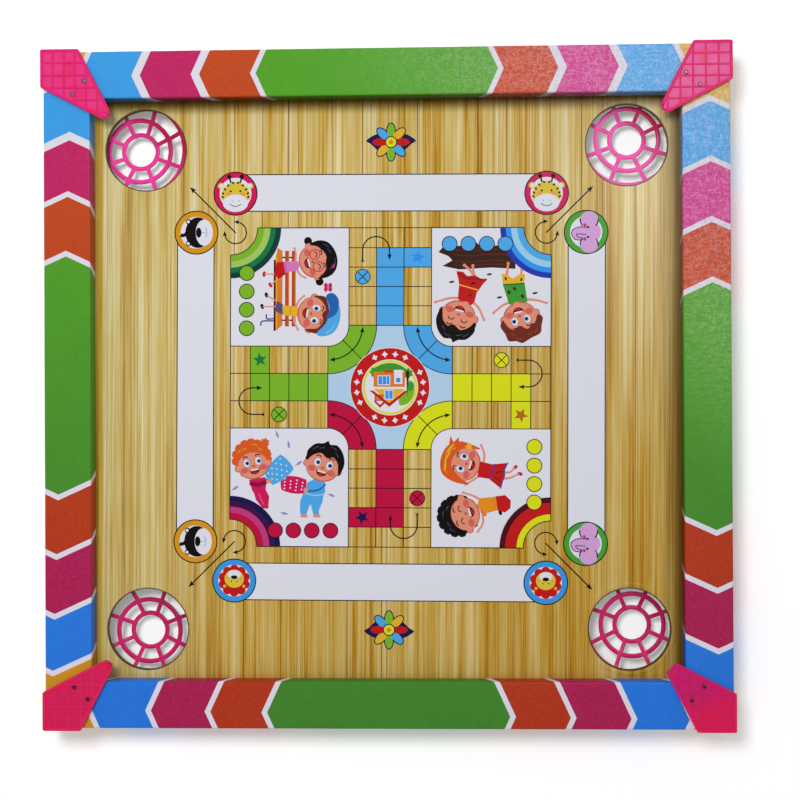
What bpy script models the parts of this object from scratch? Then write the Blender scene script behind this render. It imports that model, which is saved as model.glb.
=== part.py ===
"""A small two-in-one carrom and track-game board for children.

Four paper-wrapped timber rails are mitred and nailed into a frame. A hardboard playing panel with
four pocket holes lies in a rebate cut from their underside and is pinned there. A shallow moulded
plastic net is pinned under each hole, and a ribbed plastic guard is tacked over each corner.

Metres, +Z up. The origin is on the floor under the middle of the board, +X runs to the right and
+Y away from the near player.
"""

import math

import bmesh
import bpy
from mathutils import Matrix, Vector

# Clearance between pieces that touch on the real board.
FIT_GAP = 0.0003
# How far a cutting shape runs past the faces that it cuts through.
CUT_OVERRUN = 0.001

# Timber frame.
FRAME_WIDTH = 0.508
FRAME_DEPTH = 0.503
FRAME_HEIGHT = 0.036
RAIL_WIDTH = 0.035
RAIL_EDGE_ROUND = 0.0008

# Playing panel, and the rebate that it lies in.
PLAY_RECESS = 0.015
PANEL_THICKNESS = 0.004
REBATE_WIDTH = 0.010

# Pocket holes, on the corners of a square.
POCKET_REACH = 0.180
POCKET_RADIUS = 0.03025
POCKET_STEPS = 40

# Moulded net: three flat rings joined by eight spokes, each ring lower than the one outside it.
NET_FLANGE = (0.0330, 0.0375)
NET_MIDDLE_RING = (0.0217, 0.0251)
NET_BOTTOM_RING = (0.0112, 0.0145)
NET_MIDDLE_DROP = 0.0040
NET_BOTTOM_DROP = 0.0067
NET_WALL = 0.0018
NET_SPOKES = 8
NET_SPOKE_WIDTH = 0.0030
NET_RING_LIP = 0.0004
NET_STEPS = 24

# Each net was pinned on by eye, this far off the middle of its hole.
NET_SLIP = {
    "far_left": (-0.0065, 0.0009),
    "far_right": (0.0013, 0.0054),
    "near_right": (0.0030, 0.0018),
    "near_left": (-0.0006, -0.0023),
}

# Corner guard: a kite-shaped plate with ribs below and a skirt down the two outer faces.
GUARD_SIDE = 0.0285
GUARD_APEX = 0.0589
GUARD_TIP_ROUND = 0.0050
GUARD_CORNER_ROUND = 0.0015
GUARD_SHOULDER_ROUND = 0.0020
GUARD_TRIMMED = "near_right"
GUARD_TRIMMED_AT = 0.0670
GUARD_TRIMMED_ROUND = 0.0006
GUARD_PLATE = 0.0012
GUARD_RIB_HEIGHT = 0.0013
GUARD_RIB_WIDTH = 0.0014
GUARD_RIM_WIDTH = 0.0020
GUARD_CELL = (0.0083, 0.0093)
GUARD_CELL_START = 0.0010
GUARD_CELL_ROWS = 7
GUARD_SMALLEST_CELL = 9e-6
GUARD_SKIRT_THICKNESS = 0.0012
GUARD_SKIRT_HEIGHT = 0.0160
GUARD_TACKS = ((0.0327, 0.0240), (0.0237, 0.0340))

# Fasteners: shank radius, shank length, head radius, head thickness. The head's flat top and the
# straight part of its edge are shares of its radius and its thickness.
CORNER_NAIL = (0.0010, 0.0360, 0.0022, 0.0008)
PANEL_PIN = (0.0008, 0.0125, 0.0018, 0.0006)
NET_PIN = (0.0006, 0.0040, 0.0016, 0.0005)
GUARD_TACK = (0.0008, 0.0130, 0.0015, 0.0007)
HEAD_TOP_RADIUS = 0.85
HEAD_EDGE_HEIGHT = 0.6
FASTENER_STEPS = 6
CORNER_NAIL_INSET = 0.012
CORNER_NAIL_HEIGHTS = (0.009, 0.027)
PANEL_PIN_INSET = 0.005
PANEL_PIN_SPACING = 0.140
NET_PIN_SPREAD = math.radians(105)

# Worked out from the dimensions above.
PLAY_SURFACE = FRAME_HEIGHT - PLAY_RECESS
PANEL_UNDERSIDE = PLAY_SURFACE - PANEL_THICKNESS
SEAT_HALF_X = FRAME_WIDTH / 2 - RAIL_WIDTH + REBATE_WIDTH
SEAT_HALF_Y = FRAME_DEPTH / 2 - RAIL_WIDTH + REBATE_WIDTH
GUARD_OVERHANG = GUARD_SKIRT_THICKNESS + FIT_GAP
NET_PIN_RADIUS = sum(NET_FLANGE) / 2

# The four corners in turn: sign along X, sign along Y, and the turn that brings the far left
# corner there.
CORNERS = {
    "far_left": (-1, 1, 0.0),
    "far_right": (1, 1, -math.pi / 2),
    "near_right": (1, -1, math.pi),
    "near_left": (-1, -1, math.pi / 2),
}

# Each rail: its length, the middle of its outer face on the floor, and the turn that points its
# outer face that way.
RAILS = {
    "far_rail": (FRAME_WIDTH, (0, FRAME_DEPTH / 2), 0.0),
    "near_rail": (FRAME_WIDTH, (0, -FRAME_DEPTH / 2), math.pi),
    "left_rail": (FRAME_DEPTH, (-FRAME_WIDTH / 2, 0), math.pi / 2),
    "right_rail": (FRAME_DEPTH, (FRAME_WIDTH / 2, 0), -math.pi / 2),
}


def clear_scene():
    for obj in list(bpy.data.objects):
        bpy.data.objects.remove(obj, do_unlink=True)


def make_collection(name, parent):
    collection = bpy.data.collections.new(name)
    parent.children.link(collection)
    return collection


def make_material(name, colour, roughness, metallic=0.0):
    material = bpy.data.materials.new(name)
    material.use_nodes = True
    shader = material.node_tree.nodes["Principled BSDF"]
    shader.inputs["Base Color"].default_value = (*colour, 1.0)
    shader.inputs["Roughness"].default_value = roughness
    shader.inputs["Metallic"].default_value = metallic
    return material


clear_scene()
BOARD = make_collection("carrom_board", bpy.context.scene.collection)
CUTTERS = make_collection("cutters", bpy.context.scene.collection)
BORES = make_collection("fastener_bores", CUTTERS)

PAPER = make_material("printed_rail_paper", (0.10, 0.35, 0.08), 0.35)
LAMINATE = make_material("printed_panel", (0.70, 0.55, 0.22), 0.25)
PINK = make_material("pink_plastic", (0.85, 0.03, 0.22), 0.35)
STEEL = make_material("steel_fasteners", (0.42, 0.42, 0.43), 0.38, 1.0)


def add_object(name, mesh, collection, material=None):
    obj = bpy.data.objects.new(name, mesh)
    collection.objects.link(obj)
    if material is None:
        obj.hide_render = True
        obj.display_type = "WIRE"
    else:
        mesh.materials.append(material)
    return obj


def smooth(mesh, angle=math.radians(30)):
    mesh.shade_smooth()
    mesh.set_sharp_from_angle(angle=angle)


def mesh_of(builder, name):
    """The mesh that a bmesh holds, and the end of that bmesh."""
    mesh = bpy.data.meshes.new(name)
    builder.to_mesh(mesh)
    builder.free()
    return mesh


def box_mesh(name, low, high):
    builder = bmesh.new()
    bmesh.ops.create_cube(builder, size=1.0)
    size = Vector(high) - Vector(low)
    middle = (Vector(high) + Vector(low)) / 2
    bmesh.ops.scale(builder, vec=size, verts=builder.verts)
    bmesh.ops.translate(builder, vec=middle, verts=builder.verts)
    return mesh_of(builder, name)


def prism_mesh(name, outlines, low, high):
    """Closed prisms standing on flat outlines, between two heights."""
    builder = bmesh.new()
    for outline in outlines:
        base = builder.faces.new([builder.verts.new((x, y, low)) for x, y in outline])
        grown = bmesh.ops.extrude_face_region(builder, geom=[base])["geom"]
        top = [part for part in grown if isinstance(part, bmesh.types.BMVert)]
        bmesh.ops.translate(builder, vec=(0, 0, high - low), verts=top)
    bmesh.ops.recalc_face_normals(builder, faces=builder.faces)
    return mesh_of(builder, name)


def slab_mesh(name, outline, low, high):
    """A flat outline, as a filled 2D curve, made solid between two heights."""
    curve = bpy.data.curves.new(name + "_outline", "CURVE")
    curve.dimensions = "2D"
    curve.fill_mode = "BOTH"
    curve.extrude = (high - low) / 2
    spline = curve.splines.new("POLY")
    spline.points.add(len(outline) - 1)
    for point, (x, y) in zip(spline.points, outline):
        point.co = (x, y, 0, 1)
    spline.use_cyclic_u = True
    holder = bpy.data.objects.new(name + "_outline", curve)
    BOARD.objects.link(holder)
    graph = bpy.context.evaluated_depsgraph_get()
    mesh = bpy.data.meshes.new_from_object(holder.evaluated_get(graph))
    bpy.data.objects.remove(holder, do_unlink=True)
    bpy.data.curves.remove(curve)
    builder = bmesh.new()
    builder.from_mesh(mesh)
    bpy.data.meshes.remove(mesh)
    bmesh.ops.remove_doubles(builder, verts=builder.verts, dist=1e-6)
    bmesh.ops.translate(builder, vec=(0, 0, (high + low) / 2), verts=builder.verts)
    bmesh.ops.recalc_face_normals(builder, faces=builder.faces)
    return mesh_of(builder, name)


def turned(name, profile, steps, collection, material=None, closed=False):
    """A turned piece: a profile of (radius, height) points, run down its outer side."""
    mesh = bpy.data.meshes.new(name)
    edges = [(i, i + 1) for i in range(len(profile) - 1)]
    if closed:
        edges.append((len(profile) - 1, 0))
    mesh.from_pydata([(radius, 0, height) for radius, height in profile], edges, [])
    obj = add_object(name, mesh, collection, material)
    screw = obj.modifiers.new("turn", "SCREW")
    screw.steps = steps
    screw.render_steps = steps
    screw.use_merge_vertices = True
    screw.merge_threshold = 0.00001
    return obj


def boolean(obj, operand, operation="DIFFERENCE"):
    modifier = obj.modifiers.new(operation.lower(), "BOOLEAN")
    modifier.operation = operation
    modifier.solver = "EXACT"
    if isinstance(operand, bpy.types.Collection):
        modifier.operand_type = "COLLECTION"
        modifier.collection = operand
    else:
        modifier.object = operand
    return modifier


def arc(centre, radius, start, end, pieces):
    """Points on an arc from one angle to another, ends included."""
    step = (end - start) / pieces
    angles = [start + step * i for i in range(pieces + 1)]
    return [
        (centre[0] + radius * math.cos(a), centre[1] + radius * math.sin(a)) for a in angles
    ]


def rounded(corners):
    """An outline from (point, radius, pieces) corners, each one rounded by an arc."""
    points = []
    for i, (corner, radius, pieces) in enumerate(corners):
        here = Vector(corner)
        to_last = (Vector(corners[i - 1][0]) - here).normalized()
        to_next = (Vector(corners[(i + 1) % len(corners)][0]) - here).normalized()
        if radius == 0:
            points.append(tuple(here))
            continue
        half = to_last.angle(to_next) / 2
        centre = here + (to_last + to_next).normalized() * radius / math.sin(half)
        first = here + to_last * radius / math.tan(half) - centre
        last = here + to_next * radius / math.tan(half) - centre
        start = math.atan2(first.y, first.x)
        sweep = math.atan2(last.y, last.x) - start
        sweep = (sweep + math.pi) % (2 * math.pi) - math.pi
        points += arc(centre, radius, start, start + sweep, pieces)
    return points


def clipped(outline, limits):
    """A convex outline cut back to where normal . point <= reach, for each (normal, reach)."""
    for normal, reach in limits:
        kept = []
        for i, point in enumerate(outline):
            last = outline[i - 1]
            here_over = normal[0] * point[0] + normal[1] * point[1] - reach
            last_over = normal[0] * last[0] + normal[1] * last[1] - reach
            if (here_over > 0) != (last_over > 0):
                share = last_over / (last_over - here_over)
                kept.append(
                    tuple(a + (b - a) * share for a, b in zip(last, point))
                )
            if here_over <= 0:
                kept.append(point)
        outline = kept
    return outline


def area(outline):
    return abs(
        sum(
            outline[i - 1][0] * outline[i][1] - outline[i][0] * outline[i - 1][1]
            for i in range(len(outline))
        )
    ) / 2


def fastener(name, kind, place, out_of, sunk=False):
    """A nail or pin and the bore that takes it.

    place is the point on the surface that it was driven into, and out_of points out of that
    surface. A sunk head lies flush in a recess, and any other head sits on the surface.
    """
    shank, length, head, thickness = kind
    head_seat = -thickness if sunk else FIT_GAP
    point = 2 * shank
    body = turned(
        name,
        [
            (0, head_seat + thickness),
            (head * HEAD_TOP_RADIUS, head_seat + thickness),
            (head, head_seat + thickness * HEAD_EDGE_HEIGHT),
            (head, head_seat),
            (shank, head_seat),
            (shank, point - length),
            (0, -length),
        ],
        FASTENER_STEPS,
        BOARD,
        STEEL,
    )
    wide = (head if sunk else shank) + FIT_GAP
    bore = turned(
        name + "_bore",
        [
            (0, 2 * thickness + FIT_GAP),
            (wide, 2 * thickness + FIT_GAP),
            (wide, head_seat - FIT_GAP),
            (shank + FIT_GAP, head_seat - FIT_GAP),
            (shank + FIT_GAP, -length - FIT_GAP),
            (0, -length - FIT_GAP),
        ]
        if sunk
        else [
            (0, 2 * thickness + FIT_GAP),
            (wide, 2 * thickness + FIT_GAP),
            (wide, -length - FIT_GAP),
            (0, -length - FIT_GAP),
        ],
        FASTENER_STEPS,
        BORES,
    )
    for obj in (body, bore):
        obj.location = place
        obj.rotation_mode = "QUATERNION"
        obj.rotation_quaternion = Vector(out_of).to_track_quat("Z", "Y")


def rail(name, length, middle, turn, seat):
    """A bar with eased edges, sawn to a mitre at both ends, rebated below for the panel."""
    builder = bmesh.new()
    bmesh.ops.create_cube(builder, size=1.0)
    bmesh.ops.scale(builder, vec=(length, RAIL_WIDTH, FRAME_HEIGHT), verts=builder.verts)
    bmesh.ops.translate(
        builder, vec=(0, -RAIL_WIDTH / 2, FRAME_HEIGHT / 2), verts=builder.verts
    )
    long_edges = [
        edge
        for edge in builder.edges
        if abs(edge.verts[0].co.x - edge.verts[1].co.x) > length / 2
    ]
    bmesh.ops.bevel(
        builder,
        geom=long_edges,
        offset=RAIL_EDGE_ROUND,
        segments=1,
        profile=0.5,
        affect="EDGES",
    )
    half_kerf = FIT_GAP / math.sqrt(2)
    for end in (-1, 1):
        saw_cut = bmesh.ops.bisect_plane(
            builder,
            geom=builder.verts[:] + builder.edges[:] + builder.faces[:],
            plane_co=(end * (length / 2 - half_kerf), 0, 0),
            plane_no=(end, -1, 0),
            clear_outer=True,
        )
        rim = [part for part in saw_cut["geom_cut"] if isinstance(part, bmesh.types.BMEdge)]
        bmesh.ops.holes_fill(builder, edges=rim, sides=0)
    bmesh.ops.recalc_face_normals(builder, faces=builder.faces)
    obj = add_object(name, mesh_of(builder, name), BOARD, PAPER)
    obj.location = (*middle, 0)
    obj.rotation_euler.z = turn
    boolean(obj, seat)
    boolean(obj, BORES)


def frame():
    low = (-SEAT_HALF_X, -SEAT_HALF_Y, -CUT_OVERRUN)
    high = (SEAT_HALF_X, SEAT_HALF_Y, PLAY_SURFACE + FIT_GAP)
    seat = add_object("panel_seat", box_mesh("panel_seat", low, high), CUTTERS)
    for name, (length, middle, turn) in RAILS.items():
        rail(name, length, middle, turn, seat)


def panel():
    low = (-SEAT_HALF_X + FIT_GAP, -SEAT_HALF_Y + FIT_GAP, PANEL_UNDERSIDE)
    high = (SEAT_HALF_X - FIT_GAP, SEAT_HALF_Y - FIT_GAP, PLAY_SURFACE)
    board = add_object(
        "playing_panel", box_mesh("playing_panel", low, high), BOARD, LAMINATE
    )
    for corner, (sign_x, sign_y, _) in CORNERS.items():
        hole = turned(
            corner + "_pocket_hole",
            [
                (0, PANEL_THICKNESS),
                (POCKET_RADIUS, PANEL_THICKNESS),
                (POCKET_RADIUS, -PANEL_THICKNESS),
                (0, -PANEL_THICKNESS),
            ],
            POCKET_STEPS,
            CUTTERS,
        )
        hole.location = (
            sign_x * POCKET_REACH,
            sign_y * POCKET_REACH,
            (PLAY_SURFACE + PANEL_UNDERSIDE) / 2,
        )
        boolean(board, hole)
    boolean(board, BORES)


def net_profile():
    """The net's wall cut through one side, starting at the flange's outer edge."""
    flange_in, flange_out = NET_FLANGE
    middle_in, middle_out = NET_MIDDLE_RING
    bottom_in, bottom_out = NET_BOTTOM_RING
    upper = [
        (flange_out, 0),
        (flange_in, 0),
        (middle_out, -NET_MIDDLE_DROP),
        (middle_in, -NET_MIDDLE_DROP),
        (bottom_out, -NET_BOTTOM_DROP),
        (bottom_in, -NET_BOTTOM_DROP),
    ]
    lower = [(radius, height - NET_WALL) for radius, height in upper]
    return lower + upper[::-1]


def net_cells():
    """Outlines of the openings between the spokes, in both rows."""
    outlines = []
    half_turn = math.pi / NET_SPOKES
    rows = ((NET_BOTTOM_RING[1], NET_MIDDLE_RING[0]), (NET_MIDDLE_RING[1], NET_FLANGE[0]))
    for ring_inside, ring_outside in rows:
        inner = ring_inside + NET_RING_LIP
        outer = ring_outside - NET_RING_LIP
        inner_half = half_turn - math.asin(NET_SPOKE_WIDTH / 2 / inner)
        outer_half = half_turn - math.asin(NET_SPOKE_WIDTH / 2 / outer)
        for i in range(NET_SPOKES):
            middle = 2 * half_turn * i
            outlines.append(
                arc((0, 0), inner, middle - inner_half, middle + inner_half, 2)
                + arc((0, 0), outer, middle + outer_half, middle - outer_half, 3)
            )
    return outlines


def nets():
    cells = net_cells()
    low = -NET_BOTTOM_DROP - NET_WALL - CUT_OVERRUN
    for corner, (sign_x, sign_y, _) in CORNERS.items():
        slip_x, slip_y = NET_SLIP[corner]
        place = (
            sign_x * POCKET_REACH + slip_x,
            sign_y * POCKET_REACH + slip_y,
            PANEL_UNDERSIDE - FIT_GAP,
        )
        net = turned(
            corner + "_pocket_net", net_profile(), NET_STEPS, BOARD, PINK, closed=True
        )
        openings = add_object(
            corner + "_net_openings",
            prism_mesh(corner + "_net_openings", cells, low, CUT_OVERRUN),
            CUTTERS,
        )
        for obj in (net, openings):
            obj.location = place
        boolean(net, openings)
        boolean(net, BORES)
        away = math.atan2(slip_y, slip_x)
        for number, turn in enumerate((-NET_PIN_SPREAD, 0, NET_PIN_SPREAD), 1):
            direction = Vector((math.cos(away + turn), math.sin(away + turn), 0))
            under_flange = Vector(place) - Vector((0, 0, NET_WALL))
            fastener(
                f"{corner}_net_pin_{number}",
                NET_PIN,
                under_flange + direction * NET_PIN_RADIUS,
                (0, 0, -1),
            )


def guard_outline(trimmed):
    """The plate seen from above, its outer corner at the origin and its tip along +X -Y."""
    if trimmed:
        over = GUARD_APEX * math.sqrt(2) - GUARD_TRIMMED_AT
        along_edge = Vector((GUARD_APEX - GUARD_SIDE, GUARD_APEX)).normalized()
        back = over / (along_edge.x + along_edge.y) * math.sqrt(2)
        near = (GUARD_APEX - along_edge.x * back, GUARD_APEX - along_edge.y * back)
        tip = [(near, GUARD_TRIMMED_ROUND, 1), (near[::-1], GUARD_TRIMMED_ROUND, 1)]
    else:
        tip = [((GUARD_APEX, GUARD_APEX), GUARD_TIP_ROUND, 8)]
    corners = [
        ((0, 0), GUARD_CORNER_ROUND, 2),
        ((GUARD_SIDE, 0), GUARD_SHOULDER_ROUND, 2),
        *tip,
        ((0, GUARD_SIDE), GUARD_SHOULDER_ROUND, 2),
    ]
    return [(x, -y) for x, y in rounded(corners)]


def guard_cells():
    """Outlines of the hollows between the ribs under the plate."""
    edge = Vector((GUARD_APEX - GUARD_SIDE, GUARD_APEX)).normalized()
    reach = edge.y * GUARD_SIDE - GUARD_RIM_WIDTH
    limits = [
        ((-1, 0), -GUARD_RIM_WIDTH),
        ((0, -1), -GUARD_RIM_WIDTH),
        ((edge.y, -edge.x), reach),
        ((-edge.x, edge.y), reach),
        ((1, 1), (GUARD_TRIMMED_AT - GUARD_RIM_WIDTH) * math.sqrt(2)),
    ]
    wide, deep = (size - GUARD_RIB_WIDTH for size in GUARD_CELL)
    outlines = []
    for column in range(GUARD_CELL_ROWS):
        for row in range(GUARD_CELL_ROWS):
            left = GUARD_CELL_START + GUARD_CELL[0] * column + GUARD_RIB_WIDTH / 2
            top = GUARD_CELL_START + GUARD_CELL[1] * row + GUARD_RIB_WIDTH / 2
            cell = [(left, top), (left + wide, top), (left + wide, top + deep), (left, top + deep)]
            cell = clipped(cell, limits)
            if cell and area(cell) > GUARD_SMALLEST_CELL:
                outlines.append([(x, -y) for x, y in cell])
    return outlines


def guard_room():
    """Outline of the space under the plate, which leaves the skirt along the two outer sides."""
    wall = GUARD_SKIRT_THICKNESS
    end = GUARD_SIDE - GUARD_SHOULDER_ROUND
    far = GUARD_APEX + wall
    along = [(wall, wall), (end, wall), (end, -wall), (far, -wall)]
    across = [(y, x) for x, y in along[:0:-1]]
    return [(x, -y) for x, y in along + [(far, far)] + across]


def guards():
    ribs_at = FRAME_HEIGHT + FIT_GAP
    plate_at = ribs_at + GUARD_RIB_HEIGHT
    top = plate_at + GUARD_PLATE
    skirt_end = FRAME_HEIGHT - GUARD_SKIRT_HEIGHT
    for corner, (sign_x, sign_y, turn) in CORNERS.items():
        place = (
            sign_x * (FRAME_WIDTH / 2 + GUARD_OVERHANG),
            sign_y * (FRAME_DEPTH / 2 + GUARD_OVERHANG),
            0,
        )
        outline = guard_outline(corner == GUARD_TRIMMED)
        name = corner + "_guard"
        guard = add_object(name, slab_mesh(name, outline, skirt_end, top), BOARD, PINK)
        room_name = corner + "_guard_room"
        room = add_object(
            room_name,
            slab_mesh(room_name, guard_room(), skirt_end - CUT_OVERRUN, ribs_at),
            CUTTERS,
        )
        hollow_name = corner + "_guard_hollows"
        hollows = add_object(
            hollow_name,
            prism_mesh(hollow_name, guard_cells(), ribs_at - CUT_OVERRUN, plate_at),
            CUTTERS,
        )
        for obj in (guard, room, hollows):
            obj.location = place
            obj.rotation_euler.z = turn
        boolean(guard, room)
        boolean(guard, hollows)
        boolean(guard, BORES)
        turned_to_corner = Matrix.Rotation(turn, 3, "Z")
        for number, (along, across) in enumerate(GUARD_TACKS, 1):
            tack_at = Vector(place) + turned_to_corner @ Vector((along, -across, top))
            fastener(f"{corner}_guard_tack_{number}", GUARD_TACK, tack_at, (0, 0, 1))


def corner_nails():
    """Two nails through each end of the left and right rails, across the mitre."""
    for corner, (sign_x, sign_y, _) in CORNERS.items():
        across = sign_y * (FRAME_DEPTH / 2 - CORNER_NAIL_INSET)
        for number, height in enumerate(CORNER_NAIL_HEIGHTS, 1):
            place = (sign_x * FRAME_WIDTH / 2, across, height)
            fastener(
                f"{corner}_corner_nail_{number}", CORNER_NAIL, place, (sign_x, 0, 0), sunk=True
            )


def panel_pins():
    """Three pins up through each edge of the panel into the rail above it."""
    sides = {
        "far": (SEAT_HALF_Y - PANEL_PIN_INSET, (1, 0), (0, 1)),
        "near": (SEAT_HALF_Y - PANEL_PIN_INSET, (1, 0), (0, -1)),
        "left": (SEAT_HALF_X - PANEL_PIN_INSET, (0, 1), (-1, 0)),
        "right": (SEAT_HALF_X - PANEL_PIN_INSET, (0, 1), (1, 0)),
    }
    for side, (reach, along, outward) in sides.items():
        for number, step in enumerate((-1, 0, 1), 1):
            x = outward[0] * reach + along[0] * step * PANEL_PIN_SPACING
            y = outward[1] * reach + along[1] * step * PANEL_PIN_SPACING
            fastener(
                f"{side}_panel_pin_{number}", PANEL_PIN, (x, y, PANEL_UNDERSIDE), (0, 0, -1)
            )


frame()
panel()
nets()
guards()
corner_nails()
panel_pins()
for piece in BOARD.objects:
    smooth(piece.data)
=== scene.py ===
"""Looks for the carrom board: printed film, paper-wrapped rails, moulded plastic and steel pins.

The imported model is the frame, in metres. Drawings are made in millimetres and turned into metres
when their meshes are built.
"""

import math

import bmesh
import bpy
from mathutils import Matrix, Vector, noise


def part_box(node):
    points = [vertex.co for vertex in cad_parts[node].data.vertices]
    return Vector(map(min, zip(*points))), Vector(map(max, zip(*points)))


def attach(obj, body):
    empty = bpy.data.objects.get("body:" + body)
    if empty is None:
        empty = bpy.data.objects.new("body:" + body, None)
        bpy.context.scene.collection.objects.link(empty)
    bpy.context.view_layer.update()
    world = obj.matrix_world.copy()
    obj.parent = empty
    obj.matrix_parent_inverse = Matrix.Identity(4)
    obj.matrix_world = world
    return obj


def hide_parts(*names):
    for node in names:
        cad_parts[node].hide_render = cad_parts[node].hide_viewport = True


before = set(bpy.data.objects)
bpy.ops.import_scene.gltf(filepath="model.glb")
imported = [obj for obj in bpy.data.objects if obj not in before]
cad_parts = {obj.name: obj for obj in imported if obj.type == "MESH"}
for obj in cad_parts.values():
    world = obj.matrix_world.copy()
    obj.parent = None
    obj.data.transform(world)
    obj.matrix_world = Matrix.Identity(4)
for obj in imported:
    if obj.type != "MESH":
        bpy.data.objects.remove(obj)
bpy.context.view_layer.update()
MM = 0.001

# Heights read from the frame, in metres.
PLAY_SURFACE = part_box("playing_panel")[1].z
RAIL_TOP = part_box("far_rail")[1].z
# The pocket holes, in metres: how far out their middles are along both axes, and their radius.
HOLE_PLACE = 0.180
HOLE_RADIUS = 0.03025


# ---------------------------------------------------------------- material nodes


def linear(code):
    """The linear colour of a hex code such as d9cf9a."""
    parts = [int(code[i : i + 2], 16) / 255 for i in (0, 2, 4)]
    return tuple(p / 12.92 if p < 0.04045 else ((p + 0.055) / 1.055) ** 2.4 for p in parts)


class Signal:
    """A value in a material's node tree. Arithmetic on it adds the nodes that work it out."""

    def __init__(self, shade, socket):
        self.shade, self.socket = shade, socket

    def __add__(self, other):
        return self.shade.maths("ADD", self, other)

    def __sub__(self, other):
        return self.shade.maths("SUBTRACT", self, other)

    def __rsub__(self, other):
        return self.shade.maths("SUBTRACT", other, self)

    def __mul__(self, other):
        return self.shade.maths("MULTIPLY", self, other)

    def __truediv__(self, other):
        return self.shade.maths("DIVIDE", self, other)

    def __gt__(self, other):
        return self.shade.maths("GREATER_THAN", self, other)

    def __lt__(self, other):
        return self.shade.maths("LESS_THAN", self, other)

    def __abs__(self):
        return self.shade.maths("ABSOLUTE", self)

    __radd__ = __add__


class Shade:
    """A material's node tree, with short calls for adding to it."""

    def __init__(self, name, colour, roughness, **sockets):
        self.material = bpy.data.materials.new(name)
        self.material.use_nodes = True
        self.tree = self.material.node_tree
        self.shader = self.tree.nodes["Principled BSDF"]
        self.set(Base_Color=colour, Roughness=roughness, **sockets)

    def feed(self, socket, value):
        """Link or set a socket. A colour is a hex code, or linear red, green and blue."""
        if isinstance(value, Signal):
            self.tree.links.new(value.socket, socket)
        elif socket.type == "RGBA":
            socket.default_value = (*(linear(value) if isinstance(value, str) else value), 1.0)
        else:
            socket.default_value = value

    def feed_all(self, node, inputs):
        for key, value in inputs.items():
            self.feed(node.inputs[key.replace("_", " ")], value)

    def set(self, **sockets):
        self.feed_all(self.shader, sockets)

    def node(self, kind, settings=(), **inputs):
        made = self.tree.nodes.new("ShaderNode" + kind)
        for key, value in dict(settings).items():
            setattr(made, key, value)
        self.feed_all(made, inputs)
        return made

    def add(self, output, kind, settings=(), **inputs):
        """A new node's output, by its name or place."""
        return Signal(self, self.node(kind, settings, **inputs).outputs[output])

    def maths(self, operation, *values):
        made = self.node("Math", {"operation": operation})
        for socket, value in zip(made.inputs, values):
            self.feed(socket, value)
        return Signal(self, made.outputs[0])

    def split(self, vector):
        return [Signal(self, part) for part in self.node("SeparateXYZ", Vector=vector).outputs]

    def join(self, x, y, z):
        return self.add(0, "CombineXYZ", X=x, Y=y, Z=z)

    def place(self):
        """x, y and z of the surface, in metres, and all three together."""
        place = self.add("Object", "TexCoord")
        return (*self.split(place), place)

    def noise(self, vector, scale, detail=2.0, rough=0.5):
        return self.add("Fac", "TexNoise", Vector=vector, Scale=scale, Detail=detail, Roughness=rough)

    def bands(self, factor, stops, interpolation="CONSTANT"):
        """A colour ramp through (place, hex code) stops."""
        made = self.node("ValToRGB", Fac=factor)
        made.color_ramp.interpolation = interpolation
        elements = made.color_ramp.elements
        while len(elements) < len(stops):
            elements.new(0.5)
        for element, (place, code) in zip(elements, stops):
            element.position = place
            element.color = (*linear(code), 1.0)
        return Signal(self, made.outputs["Color"])

    def between(self, factor, low, high):
        """factor from 0 to 1, carried to the span from low to high."""
        return self.add(0, "MapRange", Value=factor, To_Min=low, To_Max=high)

    def step(self, value, start, end):
        """0 before start and 1 past end, on a smooth slope."""
        slope = {"interpolation_type": "SMOOTHSTEP"}
        return self.add(0, "MapRange", slope, Value=value, From_Min=start, From_Max=end)

    def mix(self, factor, first, second, blend="MIX"):
        made = self.node("Mix", {"data_type": "RGBA", "blend_type": blend})
        for i, value in ((0, factor), (6, first), (7, second)):
            self.feed(made.inputs[i], value)
        return Signal(self, made.outputs[2])

    def bump(self, height, depth):
        """Surface relief. depth is the height in metres that a factor of 1 stands for."""
        self.set(Normal=self.add(0, "Bump", Height=height, Distance=depth))


# ---------------------------------------------------------------- film, steel and floor

FILM_SPECULAR = 0.08
FILM_RELIEF = 0.00016
PRINT_TONE = 0.82

# The bamboo print's tone is a sum of streaks. For each: its share, then the noise's scale across
# and along the board, its detail and roughness, and how far along the noise it starts.
BAMBOO_TONES = (
    (0.30, (64.0, 2.2, 1.0, 0.5, 0.0)),
    (0.44, (215.0, 2.6, 2.0, 0.6, 7.0)),
    (0.36, (640.0, 5.0, 2.0, 0.6, 19.0)),
    (0.16, (1500.0, 16.0, 1.0, 0.6, 0.0)),
    (0.10, (260.0, 24.0, 2.0, 0.5, 3.0)),
)
BAMBOO_COLOURS = (
    (0.0, "94660e"), (0.16, "ad8224"), (0.36, "bd9b48"), (0.56, "c2a963"), (0.78, "ccb985"),
    (1.0, "d8caa2"),
)
# Lines, seams and flecks: where each starts and is full in its own streaks, its strength, its colour
# and the streaks.
BAMBOO_MARKS = (
    (0.625, 0.69, 0.75, "643c08", (520.0, 0.5, 1.0, 0.4, 57.0)),
    (0.69, 0.75, 0.8, "784e08", (330.0, 0.8, 1.0, 0.4, 11.0)),
    (0.78, 0.86, 0.6, "6a3f0c", (700.0, 46.0, 1.0, 0.5, 5.0)),
)
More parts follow.
